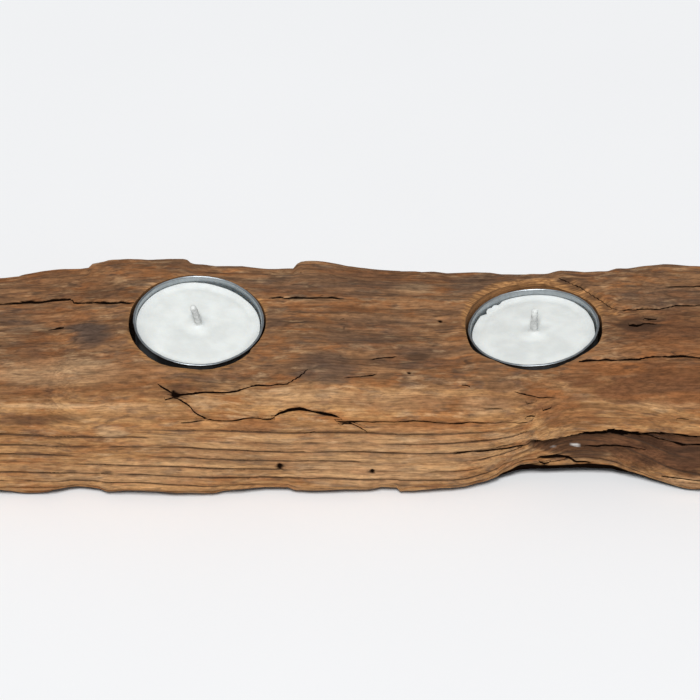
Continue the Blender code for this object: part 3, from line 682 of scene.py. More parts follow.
def drilled_block():
    """The smooth block with both recesses cut out of it, as a plain mesh."""
    scene = bpy.context.scene
    block = bpy.data.objects.new("block_to_drill", base_block())
    scene.collection.objects.link(block)
    cutters = []
    for side in SIDES:
        cutter = bpy.data.objects.new(f"{side}_drill", recess_form(side))
        scene.collection.objects.link(cutter)
        cut = block.modifiers.new(cutter.name, "BOOLEAN")
        cut.operation = "DIFFERENCE"
        cut.solver = "EXACT"
        cut.object = cutter
        cutters.append(cutter)
    graph = bpy.context.evaluated_depsgraph_get()
    drilled = bpy.data.meshes.new_from_object(block.evaluated_get(graph))
    for scrap in (block, *cutters):
        bpy.data.objects.remove(scrap, do_unlink=True)
    return drilled


# ---------------------------------------------------------------- weathering the block


def ring_depth_of(x, y, z):
    """How far a point lies across the growth rings, in mm, 0 at the first stripe: its
    distance from the pith line, less the rings' own rise along the block, with a slow
    wander, and pushed apart round the knot."""
    rise = y * sin(RISE_TILT) + z * cos(RISE_TILT)
    beside = (rise - KNOT[1]) / KNOT_PUSH_HEIGHT
    push = np.exp(-(((x - KNOT[0]) / KNOT_PUSH_LENGTH) ** 2) - abs(beside)) * np.tanh(2.5 * beside)
    even = np.where(y < 0, y * MEAN_FRONT / along(x, FRONT), y * MEAN_BACK / along(x, BACK))
    level = z + np.where(y < 0, y - even, 0.0) * tan(RISE_TILT)
    radius = np.hypot(even - PITH[0], level - PITH[1])
    wander = waves(RING_WANDER, x, y, z)
    return radius - FIRST_RING - along(x, RING_RISE) + wander - KNOT_PUSH * push


def around_pith(y, z):
    """How far a point lies round the growth rings, in mm at one radius: its angle about
    the pith times a fixed length."""
    return np.arctan2(y - PITH[0], z - PITH[1]) * AROUND_SCALE


def line_values(points, x, taper=CRACK_TAPER):
    """Rise and half width of a crack at x, and how open it is: 0 off its ends, growing
    to 1 over the taper."""
    places, rises, halves = np.array(points).T
    low, high = places[0], places[-1]
    taper = min(taper, 0.3 * (high - low))
    openness = band(x, (low, low + taper), (high - taper, high))
    return np.interp(x, places, rises), np.interp(x, places, halves), openness


def crack_relief(x, rise, seen):
    """Sum of every crack: a narrow groove along its line, the wood above it a step
    higher and the wood below it lower. Also, for the finish, how far each point lies
    above its nearest crack, how wide that is open, and the same distance unsigned."""
    height, level = np.zeros_like(x), np.zeros_like(x)
    gap = np.column_stack([np.full_like(x, FAR), np.zeros_like(x), np.full_like(x, FAR)])
    jitter = waves(CRACK_JITTER, x, level, level)
    for number, (points, depth, lip) in enumerate(CRACKS):
        near = np.nonzero((x > points[0][0]) & (x < points[-1][0]) & (seen > 0.01))[0]
        here, (line, half, openness) = x[near], line_values(points, x[near])
        above = rise[near] - line - jitter[near]
        half = CRACK_WIDTH * half * (1 + 0.4 * noise(here / 3.0, 0 * here, 0 * here, 30 + number))
        half = half * openness
        openness = openness * seen[near]
        groove = np.clip(1 - abs(above) / (half + CRACK_SOFTNESS), 0, 1) ** 0.6
        side = np.where(above > 0, np.exp(-above / LIP_REACH), -0.6 * np.exp(above / LIP_REACH))
        height[near] += openness * (lip * side * (1 - groove) - GROOVE_SHARE * depth * groove)
        closer = (abs(above) < gap[near, 2]) & (half * seen[near] > 0.02)
        gap[near[closer]] = np.column_stack([above, half * seen[near], abs(above)])[closer]
    return height, gap


def flakes(x, y, z, top):
    """Plates where thin layers have lifted off: noise stretched along the grain, cut
    into steps that are flat for most of their width. Also the noise before the cut."""
    field = FLAKE_STEPS * fractal(x / 60, y / 6.0, z / 6.0, 41, 3)
    field = field + 0.2 * noise(x / 5, y / 1.6, z / 1.6, 44)
    level = np.floor(field)
    step = smooth_step(0.8, 1.0, field - level)
    return FLAKE_HEIGHT * (level + step - 0.5) * (0.35 + 0.65 * top), field


def ring_relief(x, depth, slope):
    """Grooves where the soft wood between two rings has worn away: narrow, deeper where
    the surface crosses the rings steeply, and coming and going along X. Each layer
    stands up a little towards its outer edge. Also how deep the grooves are there."""
    order = depth / RING_SPACING
    nearest = np.round(order)
    beyond = order - nearest
    spread = RING_SPACING / np.maximum(slope, 0.3)
    amount = 0.8 + 0.6 * noise(x / 24, nearest * 7.3, nearest * 0, 51)
    amount = np.clip(amount + 0.35 * noise(x / 5, nearest * 3.1, nearest * 0, 52), 0.1, 1.3)
    groove = ridge(beyond * spread, RING_GROOVE_WIDTH, 1.6)
    part = order - np.floor(order)
    stand = RING_STEP * (part - 0.5) * (0.4 + 0.6 * amount)
    steep = smooth_step(0.15, 0.6, slope)
    return steep * (stand - RING_GROOVE * amount * groove), amount * steep


def fibres(x, across, around):
    """Fine ridges along the grain: three noises, each stretched along X. Also how low
    each point lies between them."""
    height, low = 0.0, 0.0
    for number, (length, width, tall, deep) in enumerate(FIBRE_WAVES):
        wave = noise(x / length, across / width, around / width, FIBRE_SEED + number)
        height = height + tall * wave
        low = low - deep * wave
    return height, np.clip(low, 0, 2)


def patch_sum(patches, x, rise, wander):
    """Greatest of the patches at each point: soft ovals with frayed outlines."""
    total = np.zeros_like(x)
    for centre_x, centre_rise, half_x, half_rise, strength in patches:
        away = ((x - centre_x) / half_x) ** 2 + ((rise - centre_rise) / half_rise) ** 2
        total = np.maximum(total, strength * (1 - smooth_step(0.35, 1.5, away + wander)))
    return total


def chip_relief(x, rise, top):
    """Where the top layer has broken away between its jagged edge and the right recess,
    as a mask, and the mask of the standing edge itself."""
    edge_x, edge_rise = np.array(CHIP_EDGE[::-1]).T
    flat = np.zeros_like(rise)
    right = np.interp(rise, edge_rise, edge_x) + waves(CHIP_JAG, rise, flat, flat)
    low = CHIP_EDGE[-1][1]
    inside = smooth_step(-0.6, 0.2, right - x) * smooth_step(low - 2, low + 1, rise)
    inside = inside * smooth_step(-10, -4, x - right) * (1 - smooth_step(*CHIP_TOP, rise)) * top
    rim = ridge(x - right, 1.2) * smooth_step(low - 2, low + 1, rise) * top
    return inside, rim


def split_at(x):
    """Rise of the split's ragged edge at x, and how far the hollow reaches below it."""
    edge = np.interp(x, *np.array(SPLIT_EDGE).T) + 0.2 * noise(x / 1.7, 0 * x, 0 * x, 74)
    return edge, along(np.clip(x, SPLIT_FROM, SPLIT_TO), HOLLOW_REACH)


def hollow_relief(x, rise, seen):
    """The rotted hollow under the split: the wood above stands out in a lip, the surface
    drops sharply under it and runs out smoothly towards the lower lip. Also how hollow
    each point is."""
    edge, reach = split_at(x)
    below = edge - rise
    inside = band(x, (SPLIT_FROM, SPLIT_FROM + 3), (SPLIT_FADE, SPLIT_TO)) * seen
    cut = smooth_step(0.0, 0.4, below) * (1 - smooth_step(0.4, 1.0, below / reach))
    lip = np.exp(np.minimum(below, 0) / LIP_REACH) * (1 - smooth_step(0.0, 0.3, below))
    return inside * (SPLIT_LIP * lip - HOLLOW_CUT * cut), inside * cut


def hollow_look(x, rise, shown, seen):
    """Masks of the rotted wood in the hollow and of the black band of painted shadow
    under its lip, worked out where the surface is seen after it has moved."""
    edge, reach = split_at(x)
    inside = band(x, (SPLIT_FROM + 0.4, SPLIT_FROM + 1.4), (SPLIT_FADE, SPLIT_TO)) * seen
    inside = inside * smooth_step(-0.1, 0.1, edge - rise)
    just_above = (rise > edge) & (rise < edge + 0.4) & (seen > 0.9)
    lip = np.nonzero(just_above & (x > SPLIT_FROM) & (x < SPLIT_TO))[0]
    lip = lip[np.argsort(x[lip], kind="stable")]
    below = np.interp(x, x[lip], shown[lip]) - shown
    opening = along(np.clip(x, SPLIT_FROM, SPLIT_TO), SPLIT_SHADOW_HEIGHT)
    opening = opening * (1 + 0.25 * noise(x / 4, 0 * x, 0 * x, 73))
    frayed = below / reach + 0.12 * noise(x / 7, rise / 2, 0 * x, 75)
    rotted = inside * (1 - smooth_step(0.75, 1.05, frayed))
    return rotted, inside * (1 - smooth_step(-0.12, 0.12, below - opening))


def recess_edges(points):
    """How deep the worn edge of a recess cuts into each point, how fresh the wood is
    there, and how much of the other weathering is left: a thin rounding all the way
    round, with bites of given bearing, spread, width and depth."""
    cut, fresh = np.zeros((2, len(points)))
    steady = np.ones(len(points))
    for side in SIDES:
        local = light_local(side, points)
        x, y = local[:, 0] - HOLE_OFFSET[side][0], local[:, 1] - HOLE_OFFSET[side][1]
        bearing = np.arctan2(y, x)
        away = np.hypot(x, y) - HOLE_RADIUS - bearing_bumps(bearing, HOLE_BULGES[side])
        near = (away < 9) & (away > -3) & (local[:, 2] > -CUP_HEIGHT + 1)
        steady = np.minimum(steady, np.where(near, smooth_step(0, 7, away), 1))
        frayed = 1 + waves(RIM_FRAYING, points[:, 0], points[:, 1], 0 * away)
        cut = np.maximum(cut, near * 0.3 * frayed * (1 - smooth_step(0.0, 0.7, away)))
        for direction, spread, width, depth in BITES[side]:
            turned = np.angle(np.exp(1j * (bearing - direction))) / spread
            reach = width * frayed * np.clip(1 - turned**2, 0, 1) ** 0.5 + 0.01
            slope = np.clip(1 - away / reach, 0, 1)
            cut = np.maximum(cut, near * depth * slope)
            fresh = np.maximum(fresh, near * smooth_step(0.02, 0.25, slope))
        fresh = np.maximum(fresh, 0.4 * near * (1 - smooth_step(0.0, 1.0, away)))
    return cut, fresh, steady


def trim_walls(moved, rim, walls):
    """Lowers the points of the recess walls that would stand above the worn edge of
    their recess to just below it: the edge's height is read off by bearing."""
    for side in SIDES:
        edge, inner = light_local(side, moved[rim]), light_local(side, moved[walls])
        edge = edge[np.hypot(edge[:, 0], edge[:, 1]) < RECESS_REACH]
        bearing, height = np.arctan2(edge[:, 1], edge[:, 0]), edge[:, 2]
        level = np.interp(np.arctan2(inner[:, 1], inner[:, 0]), bearing, height, period=tau)
        mine = np.hypot(inner[:, 0], inner[:, 1]) < RECESS_REACH
        inner[:, 2] = np.minimum(inner[:, 2], level - 0.05)
        moved[walls[mine]] = light_world(side, inner[mine])


def grain_places(mesh):
    """What the map "grain" says of the drilled mesh: the vertex of each corner, whether
    the corner lies on the block's outside, and the outer vertices with their column and
    turn."""
    count = len(mesh.loops)
    corner = np.empty(count, np.int32)
    mesh.loops.foreach_get("vertex_index", corner)
    pairs = np.empty(count * 2, np.float32)
    mesh.uv_layers["grain"].data.foreach_get("uv", pairs)
    pairs = pairs.reshape(-1, 2)
    on_outside = pairs[:, 0] > -0.5
    column, turn = np.zeros(len(mesh.vertices)), np.full(len(mesh.vertices), -1.0)
    column[corner[on_outside]] = pairs[on_outside, 0]
    turn[corner[on_outside]] = pairs[on_outside, 1]
    outer = np.nonzero(turn >= 0)[0]
    return corner, on_outside, outer, column[outer], np.mod(turn[outer], TURNS)


def knot_and_holes(x, shown, seen):
    """Height of the knot's raised collar and sunk heart and of the beetles' holes, and
    the painted shade in them: star-shaped pits about their centres, painted black."""
    star = 0.35 * noise(x / 0.9, shown / 0.9, 0 * x, 76)
    away = np.hypot((x - KNOT[0]) / 1.25, shown - KNOT[1]) + star
    height = seen * (0.35 * ridge(away - 2.2, 0.8) - 0.9 * (1 - smooth_step(0.3, 1.1, away)))
    pits = seen * (1 - smooth_step(0.7, 1.35, away))
    for pin_x, pin_rise, size in PINHOLES:
        away = (np.hypot((x - pin_x) / 1.4, shown - pin_rise) + 0.5 * star) / size
        pit = seen * (1 - smooth_step(0.4, 1.2, away))
        height = height - 0.6 * pit
        pits = np.maximum(pits, pit)
    return height, pits


def end_relief(x, y, z, depth):
    """Height of the end grain, and the shade painted into its grooves and checks: a groove
    at each ring, checks that run out from the middle, and a slow unevenness."""
    radial = np.arctan2(z - END_CENTRE_Z - 5, y)
    order = depth / RING_SPACING
    rings = ridge(order - np.round(order), 0.16)
    checks = ridge(np.sin(radial * 3.5 + 0.9 * noise(y / 6, z / 6, x * 0, 71)), 0.05)
    height = -0.35 * rings - 1.1 * checks - 0.5 - 0.5 * noise(y / 7, z / 7, x / 50, 72)
    return np.minimum(height, -0.05), np.maximum(checks, 0.35 * rings)


def keep_patches(x, y, z, shown, seen, keep):
    """Keeps the strength of every kind of patch, with outlines frayed by one wander."""
    wander = 0.9 * fractal(x / 14, y / 3, z / 3, 101) + 0.35 * noise(x / 4, y / 1.2, z / 1.2, 104)
    kinds = {
        "grey": (GREY_PATCHES, 1.0),
        "red": (ORANGE_PATCHES, 1.0),
        "pale": (PALE_PATCHES, 1.0),
        "stain": (DARK_PATCHES, 1.0),
        "umber": (UMBER_PATCHES, 1.3),
        "mineral": (MINERAL_PATCHES, 0.8),
    }
    for name, (patches, fraying) in kinds.items():
        keep(name, patch_sum(patches, x, shown, fraying * wander) * seen)


def weather(mesh):
    """Moves the points of the block's outside in or out along the smooth block's own
    outward direction by the sum of all its weathering, and keeps the values that the
    wood's finish reads. Points of the recess walls stay where the drill left them.
    Returns the number of the finish of each face."""
    points = vertices_of(mesh)
    corner, on_outside, outer, column, turn = grain_places(mesh)
    x, y, z = points[outer].T
    _, direction = outline_at(x, turn)
    places, _, turned = column_places()
    facing_end = np.interp(column, np.arange(len(places)), turned)
    rise = y * sin(RISE_TILT) + z * cos(RISE_TILT)
    body = 1 - facing_end
    seen = band(turn, *SEEN_BAND) * body
    top = band(turn, *TOP_BAND)
    foot = np.maximum(1 - smooth_step(*UNDERSIDE_ENDS, turn), smooth_step(*UNDERSIDE_STARTS, turn))

    depth = ring_depth_of(x, y, z)
    beside_y, beside_z = SLOPE_STEP * direction.T[::-1]
    beyond = ring_depth_of(x, y - beside_y, z + beside_z)
    slope = np.maximum(abs(beyond - depth) / SLOPE_STEP, LEAST_SLOPE)

    ring_height, ring_amount = ring_relief(x, depth, slope)
    split = np.interp(x, *np.array(SPLIT_EDGE).T)
    over_split = smooth_step(*SPLIT_RING_X, x) * smooth_step(-1, 0, rise - split)
    share = 1 - TOP_RING_LOSS * seen * smooth_step(*TOP_RING_RISE, rise)
    share = share * (1 - SPLIT_RING_LOSS * over_split)
    ring_height, ring_amount = ring_height * share, ring_amount * share
    fibre_height, fibre_dark = fibres(x, depth, around_pith(y, z))
    flake_height, flake_field = flakes(x, y, z, top)
    inside_chip, chip_rim = chip_relief(x, rise, top * seen)
    split_height, hollowed = hollow_relief(x, rise, seen)
    edge_cut, fresh, steady = recess_edges(points[outer])

    height = (1 - HOLLOW_LOSS * hollowed) * (ring_height + FLAKE_SHARE * flake_height)
    height = height + (1 - HOLLOW_FIBRE_LOSS * hollowed) * fibre_height
    height = height + waves(BROAD_WAVES, x, y, z)
    height = height * (1 - RECESS_LOSS * (1 - steady)) + split_height
    height = height - CHIP_DROP * inside_chip + CHIP_RIM * chip_rim - edge_cut
    height = height + band(turn, *BACK_EDGE_BAND) * np.interp(x, *np.array(BACK_EDGE).T)
    height = height + band(turn, *FOOT_EDGE_BAND) * np.interp(x, *np.array(FOOT_EDGE).T)
    facing = direction @ np.array([sin(RISE_TILT), cos(RISE_TILT)])
    shown = rise + height * facing * seen
    crack_height, gap = crack_relief(x, shown, seen)
    rotted, opening = hollow_look(x, rise, shown, seen)
    knot_height, pits = knot_and_holes(x, shown, seen)
    height = height + crack_height + knot_height

    # Painted shade under the front: the edge tucked under the front and the underside in the arch's
    # mouth are painted dark, where the floor under them lies in shade.
    mouth = band(x, *ARCH_MOUTH)
    tucked = band(turn, *TUCK_BAND) * body
    height = height - tucked * TUCK_DEPTH * (1 - MOUTH_BULGE * mouth)
    under = np.maximum(TUCK_SHADE * tucked, band(turn, *ARCH_BAND) * mouth * body)
    end_height, end_dark = end_relief(x, y, z, depth)
    height = body * height * (1 - FOOT_LOSS * foot) + facing_end * end_height

    out_x = np.sign(x) * facing_end
    outward = np.column_stack([out_x, np.sqrt(1 - out_x**2)[:, None] * direction])
    moved = points.copy()
    moved[outer] += height[:, None] * outward
    in_bore, on_face = np.zeros((2, len(points)), bool)
    in_bore[corner[~on_outside]] = True
    on_face[outer] = True
    trim_walls(moved, np.nonzero(in_bore & on_face)[0], np.nonzero(in_bore & ~on_face)[0])
    low, high = (np.array(point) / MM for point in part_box("driftwood_block"))
    moved = np.clip(moved, low, high)
    mesh.vertices.foreach_set("co", (moved * MM).astype(np.float32).ravel())

    def keep(name, values, elsewhere=0.0):
        everywhere = np.empty((len(points), *values.shape[1:]))
        everywhere[:] = elsewhere
        everywhere[outer] = values
        keep_values(mesh, name, everywhere)

    # Painted shade, kept as the value crack: black in the pits, in the end grain's checks and
    # rings, under the front's lower edge and in the band under the split's lip.
    darkness = np.maximum.reduce([pits, facing_end * end_dark, under, opening])
    keep("gap", gap, (FAR, 0.0, FAR))
    keep("ring_line", ring_amount)
    keep("flake", flake_field)
    keep("crack", np.clip(darkness, 0, 1))
    keep("cavity", np.clip(FIBRE_SHADE * fibre_dark, 0, 1))
    # The top, which the finish paints darker and greyer: partly weathering, partly painted shade.
    keep("weathered", top * (1 - rotted))
    keep("rotted", rotted)
    keep("fresh", np.maximum(fresh, 0.8 * inside_chip * (0.4 + 0.6 * chip_rim)), 1.0)
    keep_patches(x, y, z, shown, seen, keep)
    depths = [light_local(side, points)[:, 2] for side in SIDES]
    keep_values(mesh, "into_bore", np.where(points[:, 0] < 0, *depths))
    grain = [points[:, 0], ring_depth_of(*points.T), around_pith(*points.T[1:])]
    keep_values(mesh, "along_grain", np.column_stack(grain))

    cut_face = np.zeros(len(mesh.polygons), np.int32)
    starts = np.empty(len(mesh.polygons), np.int32)
    mesh.polygons.foreach_get("loop_start", starts)
    cut_face[~on_outside[starts]] = 1
    return cut_face


# ---------------------------------------------------------------- tealight forms

RIM_RADIUS, WALL_TOP_RADIUS, FOOT_RADIUS, WALL = 19.0, 18.45, 17.85, 0.25
FOOT_FILLET, RIM_ROLL = 1.0, 0.5
TURN_SEGMENTS, WICK_SEGMENTS, TAB_SEGMENTS = 144, 40, 72
WAX_DROP, WAX_EDGE_RADIUS, WAX_FOOT_RADIUS = 2.1, 17.95, 17.3
WICK_RADIUS, TAB_RADIUS, TAB_THICKNESS, COLLAR_HEIGHT = 0.85, 6.25, 0.35, 3.0
WAX_CLIMB = (0.9, 0.75, 1.2)  # of the wax up the wick: height, width and sharpness
WAX_LIP = (0.42, 0.75, 1.2)  # the same of the thin lip against the cup
WAX_MOAT, WAX_DIP = (0.22, 2.1, 1.1), (0.25, 4.3, 1.6)  # depth, place and width
CUP_RIBS = ((0.22, 12.0, 0.9), (0.15, 4.0, 0.7))  # height, radius and width of each
# Waves that close on themselves round the circle: height, fineness and seed.
CUP_OVAL = ((0.10, 1.3, 0), (0.05, 5, 1))
CUP_WAVER = ((0.10, 1.8, 3), (0.03, 7, 4))
CRIMPS, CRIMP_DEPTH = 4, 0.13  # of the tab's collar
STRANDS, TWIST = 1.5, 1.1  # half the wick's strands, and their turn in radians for each mm
# Where the wax has shrunk from its cup: bearing, spread and width of the gap; and the
# chips out of its edge: bearing, spread and depth.
WAX_GAPS = {
    "left": [(radians(48), 0.55, 0.75), (radians(75), 0.3, 0.35)],
    "right": [(radians(15), 0.5, 0.45), (radians(160), 0.35, 0.3)],
}
WAX_CHIPS = {
    "left": [(radians(200), 0.05, 0.2)],
    "right": [(radians(124), 0.05, 0.9), (radians(133), 0.04, 0.5), (radians(143), 0.06, 1.1)],
}


def turned_form(name, side, radius, height, segments=TURN_SEGMENTS, closed=False):
    """Surface of revolution about the light's axis from arrays of radius and height,
    each ring by angle. A closed profile goes round a bore; an open one starts and ends
    on the axis, where its first and last rings close to a point. Its map "wrap" is the
    length round the surface and the length along its profile, in mm."""
    rings = radius.shape[0]
    angle = np.arange(segments) / segments * tau
    local = np.stack([radius * np.cos(angle), radius * np.sin(angle), height], -1)
    points = local.reshape(-1, 3)
    faces = [grid_faces(rings, segments, wrap_rows=True)]
    if not closed:
        points = np.vstack([points, *([0, 0, height[end].mean()] for end in (0, -1))])
        faces = closed_tube(rings, segments)
    mesh = new_mesh(name, light_world(side, points), faces)
    corners = np.concatenate([part.ravel() for part in faces])
    ring = np.minimum(corners // segments, rings - 1)
    lengths = np.hypot(np.diff(radius.mean(1)), np.diff(height.mean(1)))
    profile = np.concatenate([[0], np.cumsum(lengths)])
    wrap = mesh.uv_layers.new(name="wrap")
    pairs = np.column_stack([(corners % segments) / segments, profile[ring] / profile[-1]])
    wrap.data.foreach_set("uv", pairs.astype(np.float32).ravel())
    return mesh


def by_angle(count=TURN_SEGMENTS):
    """Cosine and sine round the circle, for noise that closes on itself."""
    angle = np.arange(count) / count * tau
    return angle, np.cos(angle), np.sin(angle)


def round_waves(table, c, s, seed):
    """Sum of noises read on a circle, so that each meets itself: the finer, the larger
    the circle is in the noise."""
    total = 0.0
    for height, fine, more in table:
        total = total + height * noise(fine * c, fine * s, 0 * c, seed + more)
    return total


def cup_form(side):
    """Drawn cup: one profile from the middle of the floor inside, up the wall, round the
    rolled rim and down to the foot's middle outside, with ribs pressed into the floor.
    Each ring is bent a little out of round, and the thin wall has drawing wrinkles."""
    foot = -CUP_HEIGHT
    floor = np.linspace(0.6, FOOT_RADIUS - FOOT_FILLET, 14)
    curve = np.linspace(0, pi / 2, 6)[1:]
    wall = np.linspace(0, 1, 12)[1:-1]
    roll = np.linspace(pi * 0.9, -pi * 0.45, 11)
    inner_foot, inner_top = FOOT_RADIUS - WALL, WALL_TOP_RADIUS - WALL
    roll_radius = RIM_ROLL / 2
    roll_centre = RIM_RADIUS - roll_radius
    wall_z = foot + FOOT_FILLET + wall * (CUP_HEIGHT - FOOT_FILLET - RIM_ROLL)
    bend = FOOT_FILLET - WALL
    rib = sum(high * ridge(floor - place, width) for high, place, width in CUP_RIBS)
    radius = np.concatenate([
        floor[:-1], inner_foot - bend + bend * np.sin(curve),
        inner_foot + wall * (inner_top - inner_foot), [inner_top + 0.02, inner_top + 0.12],
        roll_centre + roll_radius * np.cos(roll), [WALL_TOP_RADIUS + 0.02],
        WALL_TOP_RADIUS - wall * (WALL_TOP_RADIUS - FOOT_RADIUS),
        FOOT_RADIUS - FOOT_FILLET + FOOT_FILLET * np.cos(curve), floor[:-1][::-1],
    ])
    height = np.concatenate([
        foot + WALL + rib[:-1], foot + WALL + bend - bend * np.cos(curve),
        wall_z, [-RIM_ROLL, -0.12],
        -roll_radius + roll_radius * np.sin(roll), [-RIM_ROLL - 0.05],
        wall_z[::-1], foot + FOOT_FILLET - FOOT_FILLET * np.sin(curve),
        foot + rib[:-1][::-1],
    ])
    _, c, s = by_angle()
    seed = 200 + 10 * SIDES.index(side)
    up = ((height - foot) / CUP_HEIGHT)[:, None]
    loose = up * smooth_step(12, 17, radius)[:, None]
    oval, waver = round_waves(CUP_OVAL, c, s, seed), round_waves(CUP_WAVER, c, s, seed)
    wrinkle = 0.05 * noise(22 * c, 22 * s, 2 * up, seed + 2)
    radius = radius[:, None] + loose * (oval - 0.12 + wrinkle)
    height = height[:, None] + smooth_step(0.8, 1.0, up) * (waver - 0.08)
    return turned_form(f"{side}_tealight_cup", side, radius, height)


def bearing_bumps(angle, bumps):
    """Sum of soft bumps at given bearings round the circle: bearing, spread, height."""
    total = np.zeros_like(angle)
    for bearing, spread, height in bumps:
        total = total + height * ridge(np.angle(np.exp(1j * (angle - bearing))), spread)
    return total


def wax_form(side):
    """Wax disc: its top dips, rises in a thin lip against the cup and climbs the wick;
    its edge is drawn in where it shrank from the cup and broken where it is chipped.
    The underside leaves room for the wick tab and its collar, and a bore for the wick."""
    foot = -CUP_HEIGHT + WALL + SEAT_GAP
    bore, over_tab = WICK_RADIUS - 0.1, foot + TAB_THICKNESS + SEAT_GAP
    collar = 1.9
    angle, c, s = by_angle()
    seed = 300 + 10 * SIDES.index(side)
    top = np.concatenate([
        [0.0, 0.012, 0.03], np.linspace(0.05, 0.93, 46), [0.95, 0.965, 0.98, 0.99, 1.0],
    ])
    edge = WAX_EDGE_RADIUS - 0.12 + 0.08 * noise(6 * c, 6 * s, 0 * c, seed)
    edge = edge - bearing_bumps(angle, WAX_GAPS[side])
    chips = bearing_bumps(angle, WAX_CHIPS[side])
    ragged = 0.5 + 0.5 * noise(30 * c, 30 * s, 0 * c, seed + 1)
    radius = bore + top[:, None] * (edge - bore - chips * ragged)
    x, y = radius * c, radius * s
    inward = edge - radius
    height = -WAX_DROP + 0.10 * fractal(x / 7, y / 7, 0 * x, seed + 2)
    height = height + 0.03 * noise(x / 1.6, y / 1.6, 0 * x, seed + 5)
    for distance, (high, width, power) in ((inward, WAX_LIP), (radius - bore, WAX_CLIMB)):
        height = height + high * ridge(distance, width, power)
    for distance, (deep, place, width) in ((inward, WAX_MOAT), (radius, WAX_DIP)):
        height = height - deep * ridge(distance - place, width)
    height = height - 0.7 * chips * ragged * ridge(inward, 0.9)
    height[-1] = height[-1] - 0.12
    side_z = np.linspace(0.06, 1, 8)[:, None]
    low = foot + 1.0
    side_radius = radius[-1] + side_z * (WAX_FOOT_RADIUS - radius[-1])
    side_height = height[-1] + side_z * (low - height[-1])
    under = [
        (WAX_FOOT_RADIUS - 0.3, foot + 0.3), (WAX_FOOT_RADIUS - 1.0, foot), (12.0, foot),
        (TAB_RADIUS + SEAT_GAP, foot), (TAB_RADIUS + SEAT_GAP, over_tab),
        (collar, over_tab), (collar, foot + COLLAR_HEIGHT + SEAT_GAP),
        (bore, foot + COLLAR_HEIGHT + 2 * SEAT_GAP), (bore, -8.0), (bore, -4.0),
    ]
    under_radius, under_height = np.array(under).T[..., None] * np.ones_like(angle)
    radius = np.concatenate([radius, side_radius, under_radius])
    height = np.concatenate([height, side_height, under_height])
    return turned_form(f"{side}_wax_disc", side, radius, height, closed=True)


def wick_route(side):
    """Centre line of the wick from its tab to its tip, seen from the light: straight in
    the wax, then leaning over to the tip, ever further."""
    local = light_local(side, vertices_of(frame["nodes"][f"{side}_wick"].data))
    tip = local[local[:, 2] > local[:, 2].max() - 0.9].mean(0)
    foot, top = -CUP_HEIGHT + WALL + SEAT_GAP, -WAX_DROP
    share = np.linspace(0, 1, 56)
    buried = np.column_stack([np.zeros(8), np.zeros(8), np.linspace(foot, top, 8, endpoint=False)])
    lean = share[:, None] ** 1.5 * tip[:2]
    free = np.column_stack([lean, top + share * (local[:, 2].max() - 0.2 - top)])
    return np.vstack([buried, free])


def wick_form(side):
    """Braided wick under a skin of wax: a tube along its route whose radius swells where
    the three strands cross, flares into the wax and rounds off raggedly at the tip."""
    route = wick_route(side)
    angle, c, s = by_angle(WICK_SEGMENTS)
    steps = np.linalg.norm(np.diff(route, axis=0), axis=1)
    run = np.concatenate([[0], np.cumsum(steps)])[:, None]
    above = route[:, 2:3] + WAX_DROP
    left_over = run[-1] - run
    left_handed = np.cos(STRANDS * (angle - run * TWIST)) ** 2
    right_handed = np.cos(STRANDS * (angle + run * TWIST) + 0.8) ** 2
    strands = np.maximum(left_handed, right_handed)
    seed = 400 + SIDES.index(side)
    radius = WICK_RADIUS * (0.82 + 0.2 * strands + 0.07 * noise(2 * c, 2 * s, run / 1.2, seed))
    radius = radius + 0.35 * ridge(above, 0.7) * (above > -0.6)
    radius = radius + 0.14 * smooth_step(0.0, 0.8, above)
    tip = np.clip(left_over / 0.55, 0, 1)
    radius = radius * np.sqrt(np.clip(1 - (1 - tip) ** 2, 0.02, 1))
    radius = radius * (0.9 + 0.1 * smooth_step(0, 2, left_over))
    lump = 0.12 * noise(3 * c, 3 * s, run * 0, seed + 7) * (left_over < 0.4)
    tangent = np.gradient(route, axis=0)
    tangent = tangent / np.linalg.norm(tangent, axis=1, keepdims=True)
    first = np.cross((0.0, 1.0, 0.0), tangent)
    first = first / np.linalg.norm(first, axis=1, keepdims=True)
    second = np.cross(tangent, first)
    round_it = first[:, None] * c[:, None] + second[:, None] * s[:, None]
    points = route[:, None] + radius[..., None] * round_it
    points[..., 2] += lump
    points = np.vstack([points.reshape(-1, 3), route[0], route[-1] + (0, 0, 0.05)])
    faces = closed_tube(len(route), WICK_SEGMENTS)
    mesh = new_mesh(f"{side}_braided_wick", light_world(side, points), faces)
    free = np.repeat(above[:, 0], WICK_SEGMENTS)
    keep_values(mesh, "above_wax", np.concatenate([free, above[0], above[-1]]))
    return mesh


def tab_form(side):
    """Wick tab: a pressed disc with a low dish and a collar crimped to the wick in four
    places, as one closed profile round its bore."""
    foot = -CUP_HEIGHT + WALL + SEAT_GAP
    inner, outer = WICK_RADIUS + 0.12, WICK_RADIUS + 0.62
    angle, _, _ = by_angle(TAB_SEGMENTS)
    profile = [
        (inner, foot + COLLAR_HEIGHT), (0.5 * (inner + outer), foot + COLLAR_HEIGHT + 0.05),
        (outer, foot + COLLAR_HEIGHT), (outer + 0.02, foot + 2.1), (outer + 0.06, foot + 1.2),
        (outer + 0.15, foot + 0.7), (outer + 0.5, foot + 0.42), (3.2, foot + TAB_THICKNESS),
        (5.6, foot + TAB_THICKNESS), (6.1, foot + 0.3), (TAB_RADIUS, foot + 0.18),
        (6.1, foot + 0.02), (5.6, foot), (3.2, foot), (inner + 0.3, foot), (inner, foot + 0.15),
        (inner, foot + 1.2), (inner, foot + 2.1),
    ]
    radius, height = np.array(profile).T[..., None] * np.ones_like(angle)
    crimped = (radius < outer + 0.1) & (height > foot + 1.0) & (radius > inner + 0.01)
    radius = radius - CRIMP_DEPTH * crimped * (0.5 + 0.5 * np.cos(CRIMPS * angle))
    return turned_form(f"{side}_wick_base", side, radius, height, TAB_SEGMENTS, closed=True)


# ---------------------------------------------------------------- finishes


